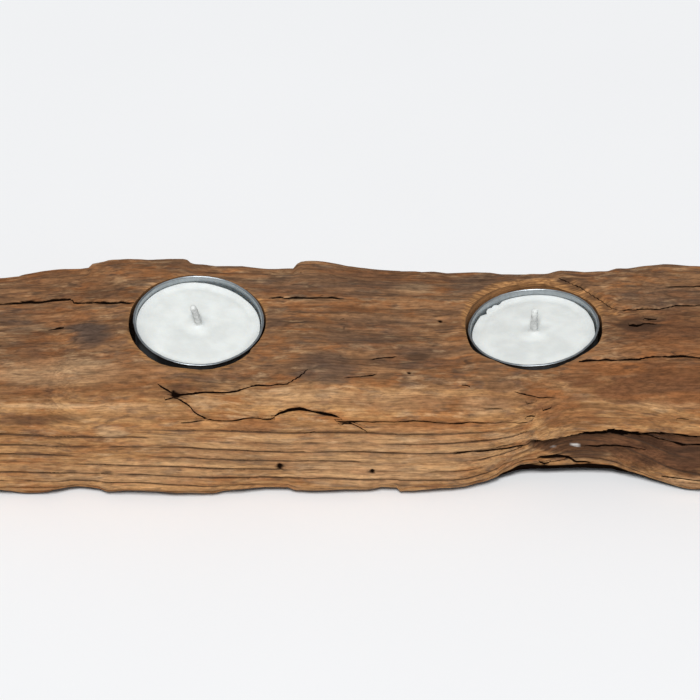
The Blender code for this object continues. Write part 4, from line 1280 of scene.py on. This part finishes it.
class Tree:
    """Lays out one node tree: an input given as a socket is linked, any other is set."""

    def __init__(self, tree):
        self.tree = tree

    def add(self, kind, inputs=None, **settings):
        node = self.tree.nodes.new(kind)
        index = len(self.tree.nodes)
        node.location = (240 * (index % 14) - 1600, -280 * (index // 14))
        for name, value in settings.items():
            setattr(node, name, value)
        for key, value in (inputs or {}).items():
            if isinstance(value, bpy.types.NodeSocket):
                self.tree.links.new(value, node.inputs[key])
            else:
                node.inputs[key].default_value = value
        return node

    def math(self, operation, *values):
        return self.add("ShaderNodeMath", dict(enumerate(values)), operation=operation).outputs[0]

    def times(self, first, second):
        return self.math("MULTIPLY", first, second)

    def plus(self, first, second):
        return self.math("ADD", first, second)

    def most(self, first, second):
        return self.math("MAXIMUM", first, second)

    def mix(self, factor, first, second, blend="MIX"):
        inputs = {0: factor, 6: first, 7: second}
        return self.add("ShaderNodeMix", inputs, data_type="RGBA", blend_type=blend).outputs[2]

    def spread(self, value, low, high, to_low=0.0, to_high=1.0):
        inputs = {0: value, 1: low, 2: high, 3: to_low, 4: to_high}
        return self.add("ShaderNodeMapRange", inputs, interpolation_type="SMOOTHSTEP").outputs[0]

    def noise(self, vector, scale, detail=3.0, roughness=0.55):
        inputs = {"Vector": vector, "Scale": scale, "Detail": detail, "Roughness": roughness}
        return self.add("ShaderNodeTexNoise", inputs).outputs["Fac"]

    def stretched(self, vector, x, y, z):
        node = self.add("ShaderNodeVectorMath", {0: vector, 1: (x, y, z)}, operation="MULTIPLY")
        return node.outputs[0]

    def value(self, name):
        """A number that the piece keeps for each of its points."""
        return self.add("ShaderNodeAttribute", attribute_name=name).outputs["Fac"]

    def vector(self, name):
        """Three numbers that the piece keeps for each of its points."""
        return self.add("ShaderNodeAttribute", attribute_name=name).outputs["Vector"]

    def group(self, name, inputs=None):
        """Outputs of the shared node group of that name."""
        return self.add("ShaderNodeGroup", inputs, node_tree=group_of(name)).outputs


def new_group(name, inputs, outputs):
    """Empty shader node group: every input is named with its default, or with None if
    it is a vector, and every output is a number."""
    group = bpy.data.node_groups.new(name, "ShaderNodeTree")
    for label, default in inputs.items():
        kind = "NodeSocketVector" if default is None else "NodeSocketFloat"
        socket = group.interface.new_socket(label, in_out="INPUT", socket_type=kind)
        if default is not None:
            socket.default_value = default
    for label in outputs:
        group.interface.new_socket(label, in_out="OUTPUT", socket_type="NodeSocketFloat")
    tree = Tree(group)
    return group, tree, tree.add("NodeGroupInput").outputs, tree.add("NodeGroupOutput")


def fibre_group():
    """Grain of softwood at a place given in mm along, across and around the rings: fine
    fibres, broad streaks, the dark line that ends each ring and a height for bump."""
    group, t, given, out = new_group(
        "softwood_grain",
        {"Place": None, "Fineness": 1.0, "Ring Spacing": RING_SPACING},
        ("Fibres", "Streaks", "Late Wood", "Height"),
    )
    place = given["Place"]
    fine = t.noise(t.stretched(place, 0.075, 2.5, 2.5), given["Fineness"], 4.0, 0.6)
    hair = t.noise(t.stretched(place, 0.3, 4.6, 4.6), given["Fineness"], 2.0, 0.5)
    broad = t.noise(t.stretched(place, 0.022, 0.42, 0.42), given["Fineness"], 3.0, 0.55)
    across = t.add("ShaderNodeSeparateXYZ", {0: place}).outputs[1]
    wander = t.times(t.math("SUBTRACT", fine, 0.5), 0.12)
    part = t.math("FRACT", t.plus(t.math("DIVIDE", across, given["Ring Spacing"]), wander))
    made = {
        "Fibres": t.plus(t.times(fine, 0.65), t.times(hair, 0.35)),
        "Streaks": broad,
        "Late Wood": t.times(t.spread(part, 0.62, 0.97), t.spread(part, 1.0, 0.975)),
        "Height": t.plus(t.times(fine, 0.7), t.times(hair, 0.3)),
    }
    for name, socket in made.items():
        t.tree.links.new(socket, out.inputs[name])
    return group


CLOUDS_PER_METRE = 260.0


def mottle_group():
    """Cloudiness of a soft pale surface: slow and fine noise on its own coordinates, as
    a mask and a height."""
    group, t, given, out = new_group("cloudiness", {"Size": 1.0, "Fine": 6.0}, ("Mask", "Height"))
    place = t.add("ShaderNodeTexCoord").outputs["Object"]
    slow = t.noise(place, t.math("DIVIDE", CLOUDS_PER_METRE, given["Size"]), 3.0, 0.5)
    fine = t.noise(place, t.times(CLOUDS_PER_METRE, given["Fine"]), 3.0, 0.6)
    t.tree.links.new(t.spread(slow, 0.3, 0.7), out.inputs["Mask"])
    t.tree.links.new(t.plus(t.times(slow, 0.6), t.times(fine, 0.4)), out.inputs["Height"])
    return group


def rubbed_group():
    """Handling of thin sheet metal: scratches along the draw and dull patches, as masks
    and a height, on the piece's own map of length round and along the profile."""
    group, t, given, out = new_group(
        "rubbed_metal", {"Map": None, "Scratch Scale": 90.0}, ("Scratches", "Dull", "Height")
    )
    lines = t.noise(t.stretched(given["Map"], 1.0, 0.05, 1.0), given["Scratch Scale"], 4.0, 0.7)
    dull = t.noise(t.stretched(given["Map"], 1.0, 0.4, 1.0), 14.0, 3.0, 0.6)
    t.tree.links.new(t.spread(lines, 0.35, 0.75), out.inputs["Scratches"])
    t.tree.links.new(t.spread(dull, 0.35, 0.7), out.inputs["Dull"])
    t.tree.links.new(lines, out.inputs["Height"])
    return group


def group_of(name):
    """The node group of that name, built the first time it is asked for."""
    makers = {
        "softwood_grain": fibre_group,
        "cloudiness": mottle_group,
        "rubbed_metal": rubbed_group,
    }
    return bpy.data.node_groups.get(name) or makers[name]()


def new_finish(name, **fixed):
    """Principled material and its tree; the numbers given are set on the shader."""
    finish = bpy.data.materials.new(name)
    finish.use_nodes = True
    shader = finish.node_tree.nodes["Principled BSDF"]
    for key, value in fixed.items():
        shader.inputs[key.replace("_", " ")].default_value = value
    return finish, Tree(finish.node_tree), shader


def link_finish(t, shader, height=None, strength=0.5, distance=0.0002, **sockets):
    """Connects the named sockets to the shader's inputs, and the height by a bump."""
    if height is not None:
        bump = {"Height": height, "Strength": strength, "Distance": distance}
        sockets["Normal"] = t.add("ShaderNodeBump", bump).outputs["Normal"]
    for name, socket in sockets.items():
        t.tree.links.new(socket, shader.inputs[name.replace("_", " ")])


def rgba(colour, share=1.0):
    """The colour times the share, with an alpha of 1."""
    return (*(share * part for part in colour), 1.0)


# Slow changes of the wood's colour: how their noise is stretched and scaled, between
# which of its values they set in, their greatest share and the colour they bring.
BLOTCHES = (
    ((0.09, 0.3, 0.3), 1.0, (0.46, 0.64), 0.65, "orange"),
    ((0.11, 0.42, 0.42), 1.1, (0.52, 0.7), 0.5, "pale"),
    ((0.1, 0.4, 0.4), 1.3, (0.5, 0.68), 0.6, "grey"),
)
# Patches in the order they are laid: the value kept for them, their share and colour.
PATCH_COLOURS = (
    ("pale", 0.7, "pale"), ("grey", 0.8, "grey"), ("umber", 0.9, "umber"), ("red", 0.7, "orange"),
)


def line_masks(t, place, fibres):
    """Masks of the crisp dark lines of the block, all painted shade: in its cracks, in the
    worn grooves between the rings, and under the edges of the lifted flakes."""
    gap = t.add("ShaderNodeSeparateXYZ", {0: t.vector("gap")}).outputs
    away = t.math("ABSOLUTE", t.plus(gap[0], t.spread(fibres, 0.2, 0.8, -0.08, 0.08)))
    crack = t.spread(t.math("SUBTRACT", away, gap[1]), 0.07, -0.07)
    crack = t.times(crack, t.spread(gap[1], 0.01, 0.06))
    crack = t.times(crack, t.math("LESS_THAN", gap[2], 1.2))
    across = t.add("ShaderNodeSeparateXYZ", {0: place}).outputs[1]
    order = t.math("DIVIDE", across, RING_SPACING)
    order = t.plus(order, t.spread(fibres, 0.2, 0.8, -0.035, 0.035))
    beyond = t.math("ABSOLUTE", t.math("SUBTRACT", order, t.math("ROUND", order)))
    ring = t.times(t.spread(beyond, 0.075, 0.03), t.spread(t.value("ring_line"), 0.3, 0.9))
    part = t.math("FRACT", t.value("flake"))
    flake = t.times(t.spread(part, 0.80, 0.86), t.spread(part, 0.97, 0.90))
    return crack, ring, t.times(flake, t.value("weathered"))


def base_colour(t, wood, place, streaks, fibres):
    """The wood's colour before light and dark: streaked tan on the front and brown on
    top, then the blotches, the patches, the rotted hollow and the raw wood over it."""
    # The top is darker and greyer than the front: partly weathering, partly painted shade.
    top = t.value("weathered")
    front = t.mix(t.spread(streaks, 0.36, 0.62), rgba(wood.brown), rgba(wood.tan))
    upper = t.mix(t.spread(streaks, 0.36, 0.64), rgba(wood.top_dark), rgba(wood.top_light))
    colour = t.mix(top, front, upper)
    for stretch, scale, (low, high), share, name in BLOTCHES:
        blotch = t.spread(t.noise(t.stretched(place, *stretch), scale, 4.0, 0.62), low, high)
        colour = t.mix(t.times(blotch, share), colour, rgba(getattr(wood, name)))
    for value, share, name in PATCH_COLOURS:
        colour = t.mix(t.times(t.value(value), share), colour, rgba(getattr(wood, name)))
    rotted = t.mix(t.spread(streaks, 0.38, 0.62), rgba(wood.rotted_dark), rgba(wood.rotted))
    colour = t.mix(t.times(t.value("rotted"), 0.9), colour, rotted)
    raw = t.mix(t.spread(fibres, 0.35, 0.65), rgba(wood.cut_dark), rgba(wood.cut))
    return t.mix(t.times(t.value("fresh"), 0.85), colour, raw)


def weathered_wood(wood):
    """Outside of the block: streaked brown that is tan on the front, greyer on top,
    orange, pale or grey in patches, with painted shade in the cracks and pits, in the worn
    ring grooves, under the flakes' edges and low between the fibres."""
    finish, t, shader = new_finish("weathered_softwood")
    place = t.vector("along_grain")
    grain = t.group("softwood_grain", {"Place": place})
    fibres = grain["Fibres"]
    colour = base_colour(t, wood, place, grain["Streaks"], fibres)
    late = t.times(grain["Late Wood"], t.spread(t.value("weathered"), 0.0, 1.0, 0.3, 0.18))
    colour = t.mix(late, colour, rgba(wood.late))
    mottle = t.noise(t.stretched(place, 0.42, 1.1, 1.1), 1.0, 3.0, 0.62)
    light = t.spread(t.plus(t.times(fibres, 0.62), t.times(mottle, 0.38)), 0.36, 0.64, 0.55, 1.42)
    shades = t.add("ShaderNodeCombineColor", {0: light, 1: light, 2: light}).outputs[0]
    colour = t.mix(0.8, colour, shades, blend="MULTIPLY")

    crack, ring, flake = line_masks(t, place, fibres)
    specks = t.spread(t.noise(t.stretched(place, 0.35, 1.6, 1.6), 1.0, 3.0, 0.6), 0.60, 0.72)
    patchy = t.noise(t.stretched(place, 0.12, 0.5, 0.5), 1.0, 2.0, 0.5)
    flake = t.times(flake, t.spread(patchy, 0.45, 0.62, 0.05, 0.6))
    # Real stains and specks, and painted shade low between the fibres, in the worn ring grooves and
    # under the flakes' edges, all in the stain colour.
    dark = t.most(t.times(t.value("stain"), 0.75), t.times(specks, 0.45))
    dark = t.most(dark, t.times(t.value("cavity"), 0.8))
    dark = t.most(t.most(dark, t.times(ring, 0.8)), flake)
    colour = t.mix(dark, colour, rgba(wood.stain))
    # Near-black painted shade in the cracks, and where the value crack marks the pits, the end
    # grain's checks, the underside at the front and the band under the split's lip.
    crack = t.most(crack, t.spread(t.value("crack"), 0.1, 0.8))
    colour = t.mix(crack, colour, rgba(wood.crack))
    colour = t.mix(t.value("mineral"), colour, rgba(wood.mineral))
    link_finish(
        t, shader, grain["Height"], 0.6, 0.0005, Base_Color=colour,
        Roughness=t.spread(fibres, 0.3, 0.7, 0.92, 0.76),
        Specular_IOR_Level=t.spread(crack, 0.0, 1.0, 0.2, 0.0),
    )
    return finish


def cut_wood(wood):
    """Walls and floor of the recesses: raw end and side grain, painted dark as shade below the
    lighter mouth.
    """
    finish, t, shader = new_finish("drilled_softwood", Roughness=0.9, Specular_IOR_Level=0.2)
    grain = t.group("softwood_grain", {"Place": t.vector("along_grain"), "Fineness": 0.8})
    streaked = t.spread(grain["Fibres"], 0.35, 0.65)
    colour = t.mix(streaked, rgba(wood.bore_dark), rgba(wood.bore))
    mouth = t.mix(streaked, rgba(wood.cut_dark), rgba(wood.mouth))
    colour = t.mix(t.spread(t.value("into_bore"), -4.5, -1.0), colour, mouth)
    colour = t.mix(t.times(grain["Late Wood"], 0.5), colour, rgba(wood.stain))
    link_finish(t, shader, grain["Height"], 0.8, 0.0008, Base_Color=colour)
    return finish


def sheet_metal(name, colour, roughness, scratch_scale):
    """Thin drawn metal: bright, scratched along the draw, dull where it was handled."""
    finish, t, shader = new_finish(name, Metallic=1.0)
    wrap = t.add("ShaderNodeUVMap", uv_map="wrap").outputs[0]
    rubbed = t.group("rubbed_metal", {"Map": wrap, "Scratch Scale": scratch_scale})
    shade = t.mix(t.times(rubbed["Scratches"], 0.5), rgba(colour), rgba(colour, 0.72))
    rough = t.spread(rubbed["Dull"], 0.0, 1.0, roughness, roughness + 0.16)
    link_finish(t, shader, rubbed["Height"], 0.25, 0.00008, Base_Color=shade, Roughness=rough)
    return finish


def wax_finish(lights):
    """Plain white wax: faintly cloudy, soft in its depth, with a dull skin."""
    finish, t, shader = new_finish(
        "white_wax", Subsurface_Weight=0.35, Subsurface_Radius=(1.0, 0.9, 0.8),
        Subsurface_Scale=0.003,
    )
    cloud = t.group("cloudiness", {"Size": 1.6, "Fine": 5.0})
    colour = t.mix(cloud["Mask"], rgba(lights.wax_colour, 0.9), rgba(lights.wax_colour))
    rough = t.spread(cloud["Mask"], 0.0, 1.0, 0.36, 0.5)
    link_finish(t, shader, cloud["Height"], 0.3, 0.0003, Base_Color=colour, Roughness=rough)
    return finish


def wick_finish(lights):
    """Cotton under wax: grey where it is thinly coated, white at the wax and the tip."""
    finish, t, shader = new_finish("waxed_cotton", Roughness=0.62)
    cloud = t.group("cloudiness", {"Size": 0.25, "Fine": 16.0})
    above = t.value("above_wax")
    colour = t.mix(cloud["Mask"], rgba(lights.wick_shade), rgba(lights.wick_colour))
    colour = t.mix(t.spread(above, 1.4, 0.1), colour, rgba(lights.wax_colour))
    colour = t.mix(t.spread(above, 5.6, 6.8, 0.0, 0.7), colour, rgba(lights.wax_colour))
    link_finish(t, shader, cloud["Height"], 0.5, 0.0002, Base_Color=colour)
    return finish


def floor_finish(stage):
    """Plain pale paper with barely any tooth."""
    finish, t, shader = new_finish("pale_floor", Roughness=0.9, Specular_IOR_Level=0.1)
    cloud = t.group("cloudiness", {"Size": 40.0, "Fine": 3.0})
    darker = rgba(stage.floor_colour, 0.985)
    link_finish(t, shader, Base_Color=t.mix(cloud["Mask"], rgba(stage.floor_colour), darker))
    return finish


# ---------------------------------------------------------------- what a user may change


def colour_property(name, description, default):
    """A colour that can be changed in the panel."""
    return FloatVectorProperty(
        name=name, description=description, default=default, subtype="COLOR", size=3, min=0, max=1
    )


class TealightWoodSettings(bpy.types.PropertyGroup):
    """Colours of the driftwood."""

    tan: colour_property("Tan", "Light streaks of the front", (0.495, 0.265, 0.108))
    brown: colour_property("Brown", "Dark streaks of the front", (0.31, 0.145, 0.052))
    # The top's colours are darker than the front's: partly weathering, partly painted shade.
    top_light: colour_property("Top, light", "Light streaks of the top", (0.325, 0.163, 0.073))
    top_dark: colour_property("Top, dark", "Dark streaks of the top", (0.170, 0.086, 0.042))
    orange: colour_property("Orange", "Patches rich in resin", (0.30, 0.112, 0.034))
    pale: colour_property("Pale", "Bleached patches", (0.58, 0.37, 0.20))
    umber: colour_property("Umber", "Dark red-brown patches", (0.155, 0.060, 0.023))
    grey: colour_property("Grey", "Patches silvered by the weather", (0.100, 0.063, 0.044))
    mineral: colour_property("Mineral", "White crust in the hollow", (0.72, 0.70, 0.67))
    late: colour_property("Ring lines", "Hard dark wood that ends a ring", (0.150, 0.066, 0.026))
    # Stain serves real stains and specks, the late wood in the recesses, and painted shade low
    # between the fibres, in the ring grooves and under the flakes' edges.
    stain: colour_property("Stain", "Dirt in low places", (0.050, 0.027, 0.016))
    # Cracks is the near-black of painted shade: in cracks, pits and checks, under the front's lower
    # edge and under the split's lip.
    crack: colour_property("Cracks", "Depth of the cracks", (0.006, 0.003, 0.002))
    rotted: colour_property("Hollow, light", "Ridges of the rotted hollow", (0.118, 0.047, 0.021))
    rotted_dark: colour_property("Hollow, dark", "Rest of the rotted hollow", (0.042, 0.017, 0.008))
    # The recess walls are painted dark as shade; only the mouth is lighter.
    bore: colour_property("Recess, light", "Dusty wood of the recess walls", (0.075, 0.040, 0.020))
    bore_dark: colour_property("Recess, dark", "Its dark fibres", (0.022, 0.011, 0.006))
    mouth: colour_property("Recess, mouth", "Raw wood at its mouth", (0.30, 0.145, 0.055))
    cut: colour_property("Cut, light", "Raw wood where it was cut or broke", (0.50, 0.25, 0.09))
    cut_dark: colour_property("Cut, dark", "Darker fibres of the raw wood", (0.25, 0.115, 0.045))


class TealightLightSettings(bpy.types.PropertyGroup):
    """Colours of the tealights."""

    cup_colour: colour_property("Cup", "Aluminium of the cups", (0.45, 0.485, 0.51))
    cup_roughness: FloatProperty(
        name="Cup roughness", description="How dull the cups are", default=0.36,
        min=0, max=1, subtype="FACTOR",
    )
    tab_colour: colour_property("Wick tab", "Steel of the wick tabs", (0.60, 0.60, 0.61))
    wax_colour: colour_property("Wax", "Colour of the wax", (0.84, 0.865, 0.84))
    wick_colour: colour_property("Wick", "Waxed cotton", (0.60, 0.61, 0.60))
    wick_shade: colour_property("Wick, shade", "Cotton between the strands", (0.46, 0.47, 0.46))


class TealightStageSettings(bpy.types.PropertyGroup):
    """The floor, the light and the camera."""

    floor_colour: colour_property("Floor", "Colour of the floor", (0.925, 0.93, 0.94))
    floor_size: FloatProperty(
        name="Floor size", description="Length of the floor's sides", default=9.0,
        min=1, unit="LENGTH",
    )
    lamp_power: FloatProperty(
        name="Lamp", description="Power of the large lamp in front", default=620.0,
        min=0, unit="POWER",
    )
    sky: FloatProperty(
        name="Room light", description="Brightness of the light from all round",
        default=0.30, min=0,
    )
    camera_height: FloatProperty(
        name="Camera elevation", description="Angle of the view above the floor",
        default=RISE_TILT, subtype="ANGLE", unit="ROTATION",
    )
    camera_distance: FloatProperty(
        name="Camera distance", description="From the camera to its target", default=1.3,
        min=0.1, unit="LENGTH",
    )
    focal_length: FloatProperty(
        name="Focal length", description="Of the lens, in millimetres", default=232.0, min=10
    )
    target: FloatVectorProperty(
        name="Target", description="Point in the middle of the view",
        default=(-0.0043, 0.0, 0.0288), size=3, subtype="TRANSLATION", unit="LENGTH",
    )


# ---------------------------------------------------------------- operators

CUP_SCRATCHES, TAB_SCRATCHES, TAB_ROUGHNESS = 90.0, 40.0, 0.32
LAMP_PLACE, LAMP_SIZE = (-0.5, -5.0, 6.8), 2.0
ROOM_COLOUR = (0.96, 0.98, 1.0, 1.0)
SENSOR_WIDTH, NEAREST, FURTHEST = 36.0, 0.01, 50.0  # of the camera


def add_pair(form, title, body, node, finish):
    """Adds the left and the right piece of one form, each on its own side's body and
    standing for its own side's node."""
    for side in SIDES:
        names = [f"{side}_{node}"]
        add_piece(f"{side}_{title}", form(side), f"{body}_{side}", names, [finish])


def add_lamp(name, place, size, power):
    """Square area lamp at that place, turned to the block."""
    lamp = bpy.data.lights.new(name, "AREA")
    lamp.shape = "SQUARE"
    lamp.size = size
    lamp.energy = power
    holder = bpy.data.objects.new(name, lamp)
    bpy.context.scene.collection.objects.link(holder)
    holder.location = place
    aim = -holder.location
    holder.rotation_euler = aim.to_track_quat("-Z", "Y").to_euler()


def add_floor(stage):
    """Square floor at the height that the block stands on."""
    half = stage.floor_size / 2 / MM
    corners = np.array([(-half, -half, 0), (half, -half, 0), (half, half, 0), (-half, half, 0)])
    mesh = new_mesh("floor", corners, [np.array([[0, 1, 2, 3]])])
    mesh.materials.append(floor_finish(stage))
    floor = bpy.data.objects.new("floor", mesh)
    bpy.context.scene.collection.objects.link(floor)


def light_room(scene, strength):
    """Even light from all round."""
    world = scene.world or bpy.data.worlds.new("room")
    scene.world = world
    world.use_nodes = True
    background = world.node_tree.nodes["Background"]
    background.inputs["Color"].default_value = ROOM_COLOUR
    background.inputs["Strength"].default_value = strength


def add_camera(scene, stage):
    """Camera in front of its target, as far back and up as the stage's settings say."""
    camera = bpy.data.cameras.new("camera")
    camera.sensor_width = SENSOR_WIDTH
    camera.lens = stage.focal_length
    camera.clip_start = NEAREST
    camera.clip_end = FURTHEST
    holder = bpy.data.objects.new("camera", camera)
    scene.collection.objects.link(holder)
    elevation = stage.camera_height
    back = np.array([0.0, -cos(elevation), sin(elevation)]) * stage.camera_distance
    holder.location = np.array(stage.target) + back
    holder.rotation_euler = (pi / 2 - elevation, 0.0, 0.0)
    scene.camera = holder


class TEALIGHT_OT_driftwood(bpy.types.Operator):
    """Build the weathered block with its two drilled recesses"""

    bl_idname = "tealight.driftwood"
    bl_label = "Driftwood block"

    def execute(self, context):
        wood = context.scene.tealight_wood
        mesh = drilled_block()
        faces = weather(mesh)
        finishes = [weathered_wood(wood), cut_wood(wood)]
        mesh.materials.clear()
        add_piece("weathered_block", mesh, "holder", ["driftwood_block"], finishes)
        mesh.polygons.foreach_set("material_index", faces)
        return {"FINISHED"}


class TEALIGHT_OT_cups(bpy.types.Operator):
    """Build the two aluminium cups"""

    bl_idname = "tealight.cups"
    bl_label = "Tealight cups"

    def execute(self, context):
        lights = context.scene.tealight_lights
        colour, roughness = lights.cup_colour, lights.cup_roughness
        finish = sheet_metal("drawn_aluminium", colour, roughness, CUP_SCRATCHES)
        add_pair(cup_form, "tealight_cup", "cup", "cup", finish)
        return {"FINISHED"}


class TEALIGHT_OT_wax(bpy.types.Operator):
    """Build the two wax discs"""

    bl_idname = "tealight.wax"
    bl_label = "Wax discs"

    def execute(self, context):
        finish = wax_finish(context.scene.tealight_lights)
        add_pair(wax_form, "wax_disc", "candle", "wax", finish)
        return {"FINISHED"}


class TEALIGHT_OT_wicks(bpy.types.Operator):
    """Build the two braided wicks"""

    bl_idname = "tealight.wicks"
    bl_label = "Wicks"

    def execute(self, context):
        finish = wick_finish(context.scene.tealight_lights)
        add_pair(wick_form, "braided_wick", "candle", "wick", finish)
        return {"FINISHED"}


class TEALIGHT_OT_wick_tabs(bpy.types.Operator):
    """Build the two steel tabs that hold the wicks"""

    bl_idname = "tealight.wick_tabs"
    bl_label = "Wick tabs"

    def execute(self, context):
        colour = context.scene.tealight_lights.tab_colour
        finish = sheet_metal("pressed_steel", colour, TAB_ROUGHNESS, TAB_SCRATCHES)
        add_pair(tab_form, "wick_base", "candle", "wick_tab", finish)
        return {"FINISHED"}


class TEALIGHT_OT_stage(bpy.types.Operator):
    """Set up the pale floor, the soft light and the camera"""

    bl_idname = "tealight.stage"
    bl_label = "Stage"

    def execute(self, context):
        scene, stage = context.scene, context.scene.tealight_stage
        add_floor(stage)
        light_room(scene, stage.sky)
        add_lamp("softbox", LAMP_PLACE, LAMP_SIZE, stage.lamp_power)
        add_camera(scene, stage)
        scene.view_settings.view_transform = "Standard"
        return {"FINISHED"}


OPERATORS = (
    TEALIGHT_OT_driftwood,
    TEALIGHT_OT_cups,
    TEALIGHT_OT_wax,
    TEALIGHT_OT_wicks,
    TEALIGHT_OT_wick_tabs,
    TEALIGHT_OT_stage,
)
SETTINGS = {
    "tealight_wood": TealightWoodSettings,
    "tealight_lights": TealightLightSettings,
    "tealight_stage": TealightStageSettings,
}


class TEALIGHT_PT_panel(bpy.types.Panel):
    """Lists the steps that build the holder, and what may be changed"""

    bl_idname = "TEALIGHT_PT_panel"
    bl_label = "Driftwood tealight holder"
    bl_space_type = "VIEW_3D"
    bl_region_type = "UI"
    bl_category = "Tealights"

    def draw(self, context):
        for operator in OPERATORS:
            self.layout.operator(operator.bl_idname)
        for name, settings in SETTINGS.items():
            box = self.layout.box()
            for key in settings.__annotations__:
                box.prop(getattr(context.scene, name), key)


CLASSES = (*SETTINGS.values(), *OPERATORS, TEALIGHT_PT_panel)


def register():
    """Registers every class, and hangs the settings on the scene."""
    for made in CLASSES:
        bpy.utils.register_class(made)
    for name, settings in SETTINGS.items():
        setattr(bpy.types.Scene, name, PointerProperty(type=settings))


def unregister():
    """The reverse of register."""
    for name in SETTINGS:
        delattr(bpy.types.Scene, name)
    for made in reversed(CLASSES):
        bpy.utils.unregister_class(made)


def main():
    """Registers the add-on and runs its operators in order."""
    register()
    for operator in OPERATORS:
        group, name = operator.bl_idname.split(".")
        getattr(getattr(bpy.ops, group), name)()


if __name__ == "__main__":
    main()
